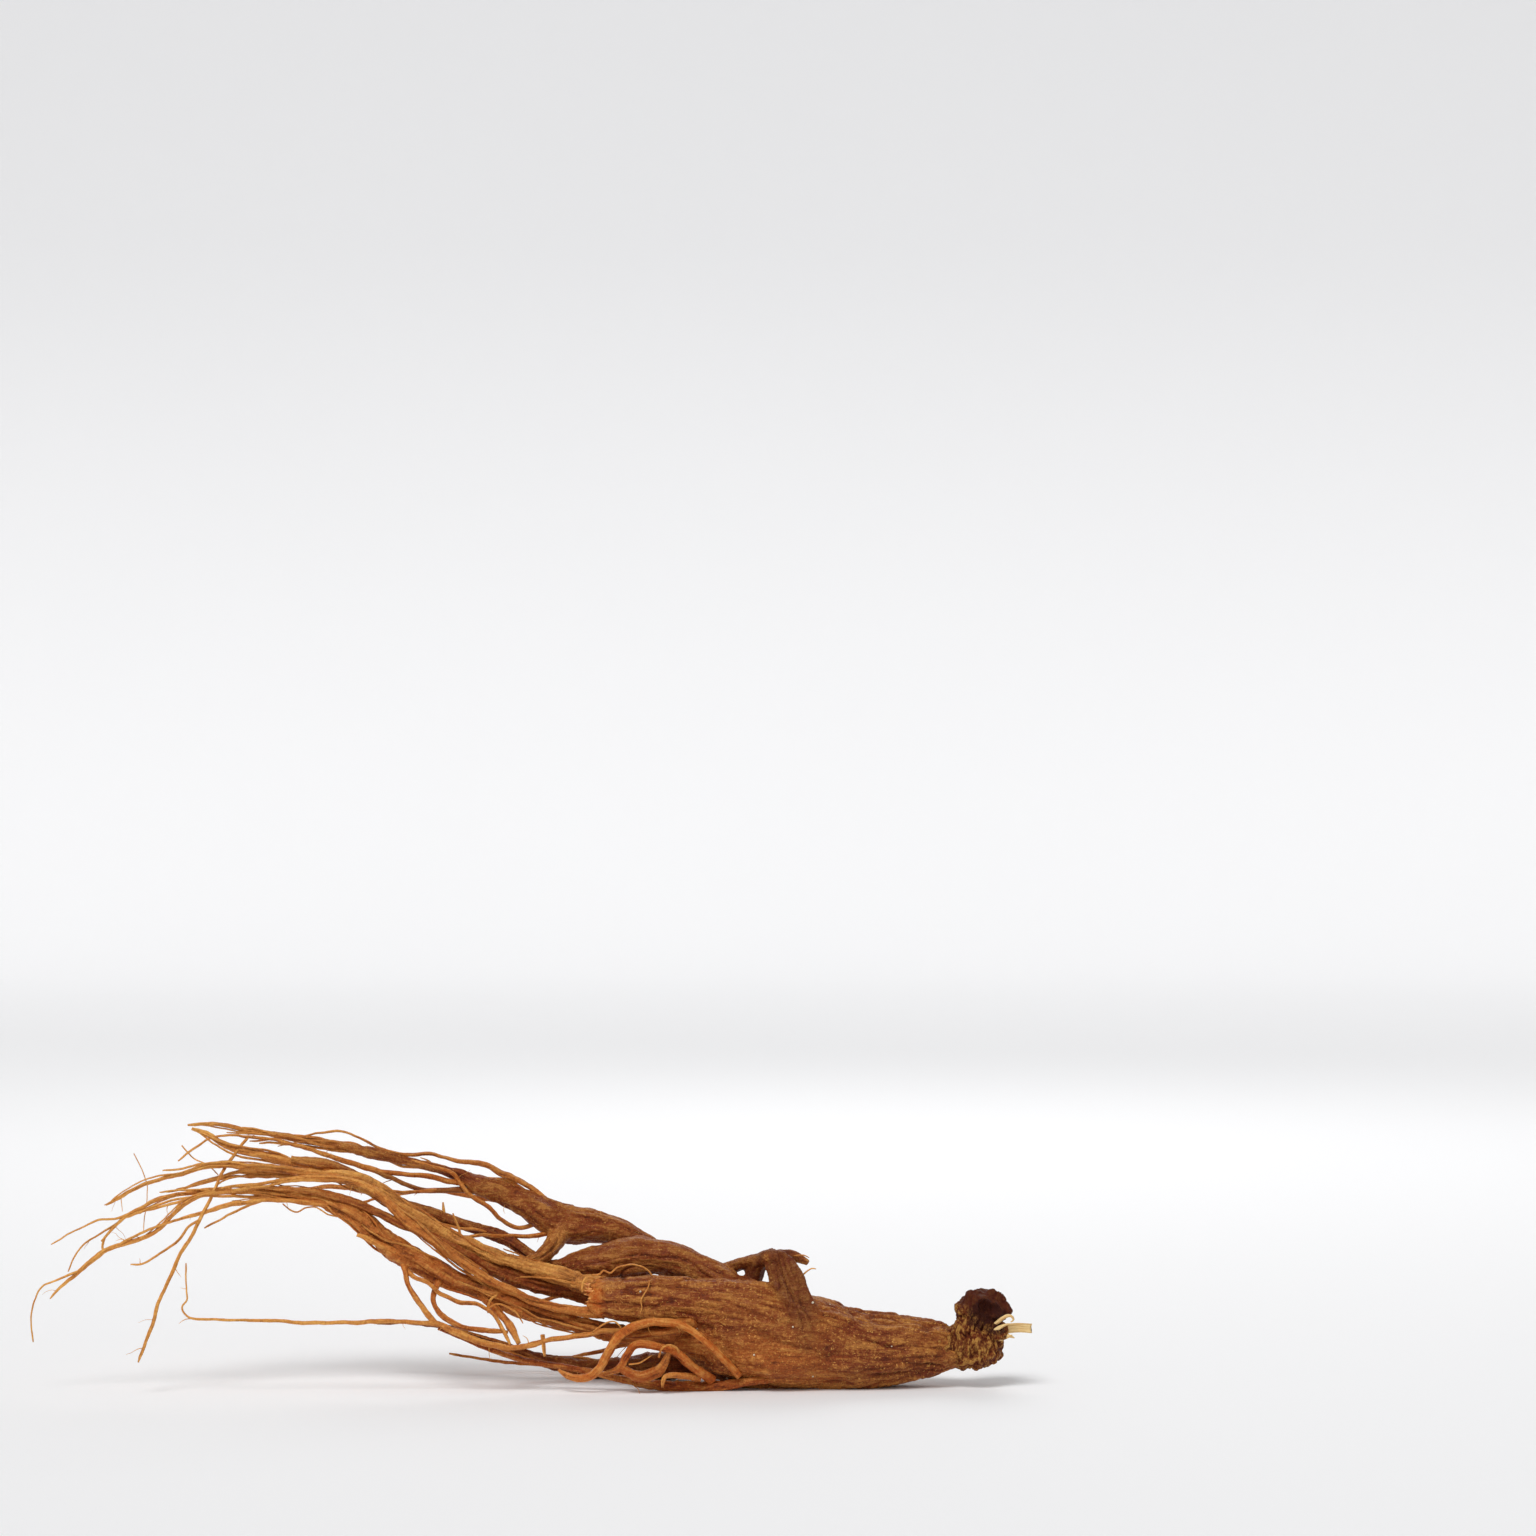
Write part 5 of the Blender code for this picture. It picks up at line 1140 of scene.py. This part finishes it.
def strand_object(name, route, seed, tone, start=0.0):
    """A thin limb or rootlet: a ridged tube with knots, wrinkles and a tapered tip."""
    course = Course(route, STRAND_GAP, seed)
    keep = course.along >= start
    centre, radius, along = course.centre[keep], course.radius[keep], course.along[keep]
    side, up = course.side[keep], course.up[keep]
    count, zero = len(along), np.zeros(len(along))
    left = along[-1] - along
    knots = sum(
        share * grain(np.stack([along / run, zero + KNOT_LANE * seed, zero], axis=1), knot_seed)
        for share, run, knot_seed in KNOTS
    )
    thin, far_left = rise(SLIM_FROM, SLIM_TO, radius), rise(TIP_FROM, TIP_TO, centre[:, 0])
    slim = 1 - STRAND_SLIM * thin - TIP_SLIM * far_left
    radius = radius * slim * (1 + knots) * (0.7 + 0.3 * rise(0.0, TIP_TAPER * radius[-1], left))
    if start > 0:
        radius = radius * (0.55 + 0.45 * rise(start, start + STRAND_SWELL, along))
    lane = zero + BEND_LANES[0] * seed
    sideways = np.stack([
        sum(
            reach * grain(np.stack([along / run, lane, zero + BEND_LANES[1] * k], axis=1), bend_seed)
            for reach, run, bend_seed in BENDS
        )
        for k in range(3)
    ], axis=1)
    centre = centre + sideways * rise(0.0, BEND_FADE, along)[:, None]
    centre[:, 1] = np.maximum(centre[:, 1], FRONT_MOST + radius)
    sides = int(np.clip(2 * math.pi * radius.max() / STRAND_FACE, *STRAND_SIDES))
    turn = np.tile(2 * math.pi * np.arange(sides) / sides, count)
    spread = [np.repeat(values, sides, axis=0) for values in (centre, radius, along, side, up)]
    centres, radii, alongs, sides_at, ups = spread
    ring = BUNDLE_TURN * np.stack([np.cos(turn), np.sin(turn)], axis=1)
    bundle = grain(np.column_stack([ring, alongs / BUNDLE_LENGTH]), seed + BUNDLE_SEED)
    parting = np.exp(-(bundle / BUNDLE_GAP) ** 2) * rise(*BUNDLE_FROM, radii)
    height = np.clip(skin_height(turn, alongs, radii, seed) - parting, -1, 1)
    skin_depth = bpy.context.scene.ginseng_form.skin_depth
    depth = np.minimum(STRAND_RELIEF * skin_depth / MM, RELIEF_MOST * radii)
    out = np.cos(turn)[:, None] * sides_at + np.sin(turn)[:, None] * ups
    radii = radii * (1 - BUNDLE_DEPTH * parting)
    points = centres + out * (radii + depth * height)[:, None]
    points[:, 2] = np.maximum(points[:, 2], 0.0)
    limb = np.stack([radii * np.cos(turn), radii * np.sin(turn), alongs + PATTERN_STEP * seed], axis=1)
    # Paler towards the left: partly the thin tips' own colour and partly painted light; the dark share's
    # painted shade fades out there
    pale = rise(PALE_FROM, PALE_TO, points[:, 0])
    tips = END_GOLD * rise(END_LENGTH, 0.0, np.repeat(left, sides))
    tones = np.stack([
        np.clip(tone[0] + PALE_ORANGE * pale, 0, 1),
        np.clip(tone[1] + PALE_GOLD * pale + tips, 0, 1),
        tone[2] * (1 - pale),
    ], axis=1)
    fleck = skin_fleck(turn, alongs, radii, seed)
    layers = {"limb": limb, "relief": 0.5 + 0.5 * height, "fleck": fleck, "tone": tones}
    rings = points.reshape(count, sides, 3).tolist()
    layers = {
        key: values.reshape((count, sides) + values.shape[1:]).tolist() for key, values in layers.items()
    }
    return as_object(name, loft(rings, layers))


def strand_routes():
    """Each strand's name, route, seed, tone and the length at which it leaves the flesh."""
    for seed, (name, route) in enumerate(LEGS.items(), start=FIRST_LEG_SEED):
        start = max(0.0, FLESH_REACH.get(name, 0.0) - STRAND_BACK)
        long_enough = Course(route, 2.0, seed).along[-1] > start + STRAND_BACK
        if long_enough:
            yield name, route, seed, TONES[name], start
    for seed, (name, route) in enumerate(ROOTLETS.items(), start=FIRST_ROOTLET_SEED):
        yield name, route, seed, TONES.get(name, ROOTLET_TONE), 0.0


def companion_route(course, dice, first_least):
    """A thin strand that rises out of a host limb, lies along it and sinks back or leaves it."""
    total = course.along[-1]
    first = dice.uniform(first_least, 0.75 * total)
    last = min(first + dice.uniform(*COMPANION_LENGTH), total - 1.0)
    turn, drift = dice.uniform(0, 2 * math.pi), dice.uniform(-0.5, 0.5)
    thick = dice.uniform(*COMPANION_RADIUS)
    leaves = dice.random() < LEAVING_SHARE
    steps = max(5, round((last - first) / COMPANION_STEP))
    route = []
    for k in range(steps + 1):
        share = k / steps
        n = min(int(np.searchsorted(course.along, first + (last - first) * share)), len(course.along) - 1)
        above = min(1.0, 5 * share, 1.0 if leaves else 5 * (1 - share))
        lift = course.radius[n] * (0.3 + 0.62 * above) + thick * (1.4 * above - 0.5)
        if leaves:
            lift += 5.0 * max(0.0, share - 0.6) ** 1.5
        out = math.cos(turn) * course.side[n] + math.sin(turn) * course.up[n]
        route.append((*(course.centre[n] + out * lift), thick * (1 - 0.35 * share)))
        turn += drift + dice.uniform(-0.25, 0.25)
    return route


def crumb_objects(flesh):
    """Pale crumbs that stick to the flesh where the camera sees them."""
    crumbs = []
    for (x, z), size in CRUMBS:
        hit, spot, _, _ = flesh.ray_cast(CAMERA_PLACE, Vector((x, 0, z)) - CAMERA_PLACE)
        if not hit:
            raise RuntimeError(f"no flesh lies behind the crumb at {x}, {z}")
        bm = bmesh.new()
        place = Matrix.Translation(spot) @ Matrix.Scale(size, 4)
        bmesh.ops.create_icosphere(bm, subdivisions=2, radius=1, matrix=place)
        for vert in bm.verts:
            vert.co += CRUMB_GNARL * size * noise.noise_vector(vert.co / size)
        crumbs.append(as_object("crumb", bm))
    return crumbs


def hair_route(course, dice, longest):
    """A fine hair that leaves a strand at a drawn place and bends as it goes."""
    n = dice.randrange(3, len(course.along) - 1)
    turn = dice.uniform(0, 2 * math.pi)
    out = Vector(math.cos(turn) * course.side[n] + math.sin(turn) * course.up[n])
    heading = (out + Vector(course.ahead[n]) * dice.uniform(-0.2, 1.0)).normalized()
    size = longest * dice.uniform(0.2, 1.0) ** 2 + 0.6
    thick = dice.uniform(*HAIR_RADIUS)
    at = Vector(course.centre[n]) + out * course.radius[n] * 0.6
    route = []
    for step in range(5):
        route.append((*at, thick * (1 - 0.15 * step)))
        bend = Vector((dice.uniform(-1, 1), dice.uniform(-1, 1), dice.uniform(-1, 0.6)))
        heading = (heading + 0.45 * bend).normalized()
        at = at + heading * size / 4
    return route


def fibre_route(k, dice):
    """The torn fibre k of the cut leg, which starts on the rim and curls outwards."""
    turn = 2 * math.pi * (k + dice.uniform(-0.7, 0.7)) / TORN_FIBRES
    rim = Vector((0, -math.cos(turn), math.sin(turn)))
    at = TORN_MIDDLE + Vector((dice.uniform(0.2, 1.0), 0, 0))
    at += rim * TORN_RADIUS * dice.uniform(0.5, 0.95)
    reach, curl_by = dice.uniform(*FIBRE_LENGTH), dice.uniform(-0.6, 1.1)
    twist = Vector((0, dice.uniform(-0.5, 0.5), dice.uniform(-0.5, 0.5)))
    thick = dice.uniform(*FIBRE_RADIUS)
    route = []
    for step in range(6):
        curl = step / 5 * curl_by
        ahead = Vector((-1, 0, 0)) * math.cos(curl) + rim * math.sin(curl) + twist * step / 5
        route.append((*at, thick * (1 - 0.12 * step)))
        at = at + ahead * reach / 4
    return route


class GINSENG_OT_flesh(bpy.types.Operator):
    """Model the thick flesh: taproot, fold and legs grown into one skin"""

    bl_idname = "ginseng.flesh"
    bl_label = "Flesh"

    def execute(self, context):
        form = context.scene.ginseng_form
        fold_route = [(*centre, half_width) for centre, half_width, _ in FOLD]
        limbs = [("taproot", TAPROOT, 0, math.inf)] + [
            (name, LEGS[name], FIRST_LEG_SEED + list(LEGS).index(name), reach)
            for name, reach in FLESH_REACH.items()
        ]
        things = [
            coarse_limb(name, route, FLESH_SIDES, FLESH_GAP, seed, reach)
            for name, route, seed, reach in limbs
        ]
        things.append(fold_leaf())
        flesh = joined("root_flesh", things)
        modified(flesh, "REMESH", mode="VOXEL", voxel_size=FLESH_VOXEL)
        modified(flesh, "SMOOTH", factor=0.5, iterations=5)
        mesh = flesh.data
        mesh.shade_smooth()
        for _ in range(2):
            hollow_and_painted_shade, smooth = hollowness(mesh, 30)
            fill = 0.85 * rise(0.1, 0.5, hollow_and_painted_shade)[:, None]
            move_to(mesh, positions(mesh) * (1 - fill) + smooth * fill)
        points, normals = positions(mesh), outwards(mesh)
        courses = [(name, Course(route, FLESH_GAP, seed)) for name, route, seed, _ in limbs]
        courses.append(("fold", Course(fold_route, FLESH_GAP, FOLD_SEED)))
        placed = [course.place(points) for _, course in courses]
        far = np.stack([reach / radius for _, _, radius, reach in placed])
        share = np.exp(-(far - far.min(axis=0)) / 0.1)
        share /= share.sum(axis=0)
        heights = [
            skin_height(turn, along, radius, course.seed)
            for (_, course), (turn, along, radius, _) in zip(courses, placed)
        ]
        height = (share * np.stack(heights)).sum(axis=0)
        flecks = [
            skin_fleck(turn, along, radius, course.seed)
            for (_, course), (turn, along, radius, _) in zip(courses, placed)
        ]
        fleck = (share * np.stack(flecks)).sum(axis=0)
        depth = form.skin_depth / MM * (share * np.stack([
            rise(0.0, 5.0, radius) for _, _, radius, _ in placed
        ])).sum(axis=0)
        swell = sum(high * grain(points / width, seed) for high, width, seed in SWELLS)
        points = points + normals * (depth * height + swell)[:, None]
        broken = rise(BREAK_FROM, BREAK_TO, points[:, 0]) * share[list(FLESH_REACH).index("cut_leg") + 1]
        ragged = 1.3 * grain(points * (0.2, 0.75, 0.75), 73) + 0.7 * grain(points * (0.5, 1.5, 1.5), 74)
        points += broken[:, None] * (ragged[:, None] * (1.0, 0.0, 0.0) + 0.5 * ragged[:, None] * normals)
        points[:, 2] = np.maximum(points[:, 2], 0.0)
        move_to(mesh, points)
        # The tone's dark share carries painted shade onto the fold and the legs behind
        tone = (share[:, :, None] * np.array([TONES[name] for name, _ in courses])[:, None, :]).sum(axis=0)
        tone[:, 0] = np.maximum(tone[:, 0], 0.9 * broken)
        write_layer(mesh, "relief", 0.5 + 0.5 * height)
        write_layer(mesh, "fleck", fleck)
        write_layer(mesh, "tone", tone)
        # Painted shade: how deep each vertex lies in a hollow or crease, which the skin darkens
        write_layer(mesh, "hollow_and_painted_shade", rise(0.1, 0.7, hollowness(mesh, 24)[0]))
        crumbs = crumb_objects(flesh)
        settle(flesh, skin_finish("flesh_skin", False), ROOT_NODE)
        settle(joined("skin_crumbs", crumbs), crumb_finish(), ROOT_NODE)
        return {"FINISHED"}


class GINSENG_OT_crown(bpy.types.Operator):
    """Model the crown: gnarled neck, bud scars and the scooped hood"""

    bl_idname = "ginseng.crown"
    bl_label = "Crown"

    def execute(self, context):
        form = context.scene.ginseng_form
        things = [coarse_limb("neck", NECK, CROWN_SIDES, CROWN_GAP, NECK_SEED)]
        things += [gnarled_ball("bud_scar", shape, BUD_GNARL) for shape in BUD_SCARS]
        things.append(gnarled_ball("hood", HOOD, HOOD_GNARL))
        things.append(gnarled_ball("hood_lip", HOOD_LIP, HOOD_GNARL))
        crown = joined("root_crown", things)
        modified(crown, "REMESH", mode="VOXEL", voxel_size=CROWN_VOXEL)
        scoop = gnarled_ball("scoop", HOLLOW, SCOOP_GNARL)
        modified(crown, "BOOLEAN", operation="DIFFERENCE", solver="MANIFOLD", object=scoop)
        modified(crown, "REMESH", mode="VOXEL", voxel_size=CROWN_VOXEL)
        modified(crown, "SMOOTH", factor=0.5, iterations=3)
        mesh = crown.data
        mesh.shade_smooth()
        points, normals = positions(mesh), outwards(mesh)
        centre, half_sizes = (np.array(values) for values in HOLLOW)
        reach = np.linalg.norm((points - centre) / half_sizes, axis=1)
        faces_in = ((centre - points) * normals).sum(axis=1) > 0
        # The inside of the scoop, which the finish paints near-black as shade
        scoop_inside_shade = rise(1.35, 1.1, reach) * faces_in
        leant = points[:, 2] + 0.7 * np.minimum(points[:, 0] - 90.0, 1.0)
        hood = rise(12.8, 15.0, leant + 0.7 * grain(points / 1.5, 85))
        bpy.data.objects.remove(scoop)
        sway = grain(points / 3.0, 81)
        x, y, z = points.T
        folds = grain(np.stack([x / 1.0 + 1.2 * sway, y / 1.8, z / 3.4 + sway], axis=1), 82)
        folds = 1 - 2.2 * np.exp(-(folds / 0.24) ** 2)
        knots = grain(points / 1.9, 83)
        chips = grain(points / 0.8, 84)
        height = (0.45 * folds + 0.4 * knots + 0.4 * chips) * (1 - 0.55 * hood) * (1 - 0.3 * scoop_inside_shade)
        points = points + normals * (form.gnarl_depth / MM * height)[:, None]
        move_to(mesh, points)
        write_layer(mesh, "relief", 0.5 + 0.5 * np.clip(height, -1, 1))
        write_layer(mesh, "scoop_inside_shade", scoop_inside_shade)
        write_layer(mesh, "hood", hood)
        # Painted shade: how deep each vertex lies in a hollow, which the finish darkens
        write_layer(mesh, "hollow_and_painted_shade", rise(0.1, 0.6, hollowness(mesh, 30)[0]))
        settle(crown, crown_finish(), ROOT_NODE)
        return {"FINISHED"}


class GINSENG_OT_strands(bpy.types.Operator):
    """Model the thin legs and the rootlets as ridged tubes"""

    bl_idname = "ginseng.strands"
    bl_label = "Rootlets"

    def execute(self, context):
        finish = skin_finish("strand_skin", True)
        made = {True: [], False: []}
        for name, route, seed, tone, start in strand_routes():
            made[name in LEGS].append(strand_object(name, route, seed, tone, start))
        dice = random.Random(COMPANION_DRAW)
        companions = []
        for name, count in COMPANIONS.items():
            course = Course(LEGS[name], 1.0, FIRST_LEG_SEED + list(LEGS).index(name))
            least = max(0.0, FLESH_REACH.get(name, 0.0) - STRAND_BACK)
            for _ in range(count):
                seed = FIRST_COMPANION_SEED + len(companions)
                # The third share is painted shade, of a random strength
                tone = (dice.uniform(0.7, 1.0), dice.uniform(0.0, 0.55), dice.uniform(0.0, 0.25))
                route = companion_route(course, dice, least)
                companions.append(strand_object("companion", route, seed, tone))
        settle(joined("companion_strands", companions), finish, ROOT_NODE)
        settle(joined("leg_strands", made[True]), finish, ROOT_NODE)
        settle(joined("rootlets", made[False]), finish, ROOT_NODE)
        return {"FINISHED"}


class GINSENG_OT_hairs(bpy.types.Operator):
    """Model the fine hairs and spurs of the strands and the torn fibres of the broken leg"""

    bl_idname = "ginseng.hairs"
    bl_label = "Hairs and Torn Fibres"

    def execute(self, context):
        form = context.scene.ginseng_form
        dice = random.Random(HAIR_DRAW)
        hairs = [
            strand_object(name, route, seed, (0.9, 0.45, 0.0))
            for seed, (name, route) in enumerate(HAIRS.items(), start=FIRST_THREAD_SEED)
        ]
        courses = [Course(route, 1.0, seed) for _, route, seed, _, _ in strand_routes()]
        longest = form.hair_length / MM
        for k in range(form.hair_count):
            course = dice.choices(courses, [course.along[-1] for course in courses])[0]
            route = hair_route(course, dice, longest)
            hairs.append(strand_object(f"hair_{k}", route, FIRST_HAIR_SEED + k, (0.85, 0.6, 0.0)))
        settle(joined("root_hairs", hairs), skin_finish("hair_skin", True), ROOT_NODE)

        fibres = [
            strand_object(f"fibre_{k}", fibre_route(k, dice), FIRST_FIBRE_SEED + k, (1.0, 0.3, 0.0))
            for k in range(TORN_FIBRES)
        ]
        settle(joined("torn_fibres", fibres), torn_finish(), ROOT_NODE)
        return {"FINISHED"}


class GINSENG_OT_stub(bpy.types.Operator):
    """Model the dry, split stub of the stem and its frays"""

    bl_idname = "ginseng.stub"
    bl_label = "Stem Stub"

    def execute(self, context):
        section = []
        for n in range(STRAW_SIDES):
            turn = 2 * math.pi * n / STRAW_SIDES
            u = math.copysign(abs(math.cos(turn)) ** 0.5, math.cos(turn))
            v = math.copysign(abs(math.sin(turn)) ** 0.6, math.sin(turn))
            fibre = 0.09 * noise.noise(Vector((5 * math.cos(turn), 5 * math.sin(turn), 3.0)))
            section.append((u * (1 + 0.4 * fibre), v * (1 + fibre) + 0.5 * u * u - 0.25))
        rings = strip_rings(STRAW_RINGS, section, STRAW_END_WANDER)
        limb = [
            [(2.2 * u, 1.2 * v, 7.4 * k / (STRAW_RINGS - 1)) for u, v in section]
            for k in range(STRAW_RINGS)
        ]
        things = [as_object("straw", loft(rings, {"limb": limb}))]
        for k, route in enumerate(STUB_FRAYS):
            things.append(strand_object(f"fray_{k}", route, FIRST_FRAY_SEED + k, (0.0, 0.0, 0.0)))
        settle(joined("stem_straw", things), straw_finish(), STUB_NODE)
        return {"FINISHED"}


class GINSENG_OT_stage(bpy.types.Operator):
    """Set up the pale floor, the soft light and the camera"""

    bl_idname = "ginseng.stage"
    bl_label = "Stage"

    def execute(self, context):
        scene = context.scene
        tints = scene.ginseng_colours
        bm = bmesh.new()
        bmesh.ops.create_grid(bm, x_segments=1, y_segments=1, size=SWEEP_HALF)
        back = [edge for edge in bm.edges if all(vert.co.y > 0 for vert in edge.verts)]
        bend = Vector((0, SWEEP_HALF, SWEEP_BEND))
        turned = bmesh.ops.spin(
            bm, geom=back, cent=bend, axis=(1, 0, 0), angle=math.radians(90), steps=24, use_merge=False
        )
        top = [edge for edge in turned["geom_last"] if isinstance(edge, bmesh.types.BMEdge)]
        wall = bmesh.ops.extrude_edge_only(bm, edges=top)
        for vert in wall["geom"]:
            if isinstance(vert, bmesh.types.BMVert):
                vert.co.z += SWEEP_HALF
        floor = as_object("floor", bm)
        paint = Paint("pale_floor")
        place = paint.node("ShaderNodeTexCoord", output="Object")
        cloud = paint.grain(place, (3.0, 3.0, 3.0), 2.0)
        base = paint.mix(cloud * 0.15, tints.floor, (0.88, 0.88, 0.89))
        floor.data.materials.append(paint.finish(base, 0.75 + 0.1 * cloud, cloud, 0.0001))

        world = bpy.data.worlds.new("soft_room")
        world.use_nodes = True
        world.node_tree.nodes["Background"].inputs["Color"].default_value = (1.0, 1.0, 1.0, 1.0)
        world.node_tree.nodes["Background"].inputs["Strength"].default_value = WORLD_LIGHT
        scene.world = world
        sun = bpy.data.lights.new("sun", "SUN")
        sun.energy, sun.angle = SUN_POWER, math.radians(SUN_WIDTH)
        high = bpy.data.objects.new("sun", sun)
        high.rotation_euler = Vector(SUN_FROM).to_track_quat("Z", "Y").to_euler()
        scene.collection.objects.link(high)
        for name, spot, size, power in LIGHTS:
            light = bpy.data.lights.new(name, "AREA")
            light.size, light.energy = size, power
            lamp = bpy.data.objects.new(name, light)
            lamp.location = spot
            lamp.rotation_euler = (Vector((0, 0, 0.02)) - Vector(spot)).to_track_quat("-Z", "Y").to_euler()
            scene.collection.objects.link(lamp)

        camera = bpy.data.cameras.new("camera")
        camera.lens, camera.sensor_width = CAMERA_LENS, CAMERA_SENSOR
        camera.clip_start = 0.01
        holder = bpy.data.objects.new("camera", camera)
        holder.location = TO_FRAME @ CAMERA_PLACE
        holder.rotation_euler = (math.radians(90), 0, 0)
        scene.collection.objects.link(holder)
        scene.camera = holder
        scene.view_settings.view_transform = "Standard"
        return {"FINISHED"}


class GINSENG_PT_panel(bpy.types.Panel):
    bl_label = "Ginseng Root"
    bl_idname = "GINSENG_PT_panel"
    bl_space_type = "VIEW_3D"
    bl_region_type = "UI"
    bl_category = "Ginseng"

    def draw(self, context):
        for operator in OPERATORS:
            self.layout.operator(operator.bl_idname)
        for group in (context.scene.ginseng_form, context.scene.ginseng_colours):
            box = self.layout.box()
            for name in group.__annotations__:
                box.prop(group, name)


OPERATORS = (
    GINSENG_OT_stage, GINSENG_OT_flesh, GINSENG_OT_crown, GINSENG_OT_strands, GINSENG_OT_hairs,
    GINSENG_OT_stub,
)
CLASSES = (GinsengForm, GinsengColours, *OPERATORS, GINSENG_PT_panel)


def register():
    for made in CLASSES:
        bpy.utils.register_class(made)
    bpy.types.Scene.ginseng_form = PointerProperty(type=GinsengForm)
    bpy.types.Scene.ginseng_colours = PointerProperty(type=GinsengColours)


def unregister():
    del bpy.types.Scene.ginseng_form
    del bpy.types.Scene.ginseng_colours
    for made in reversed(CLASSES):
        bpy.utils.unregister_class(made)


def main():
    register()
    bpy.ops.ginseng.stage()
    bpy.ops.ginseng.flesh()
    bpy.ops.ginseng.crown()
    bpy.ops.ginseng.strands()
    bpy.ops.ginseng.hairs()
    bpy.ops.ginseng.stub()


if __name__ == "__main__":
    main()
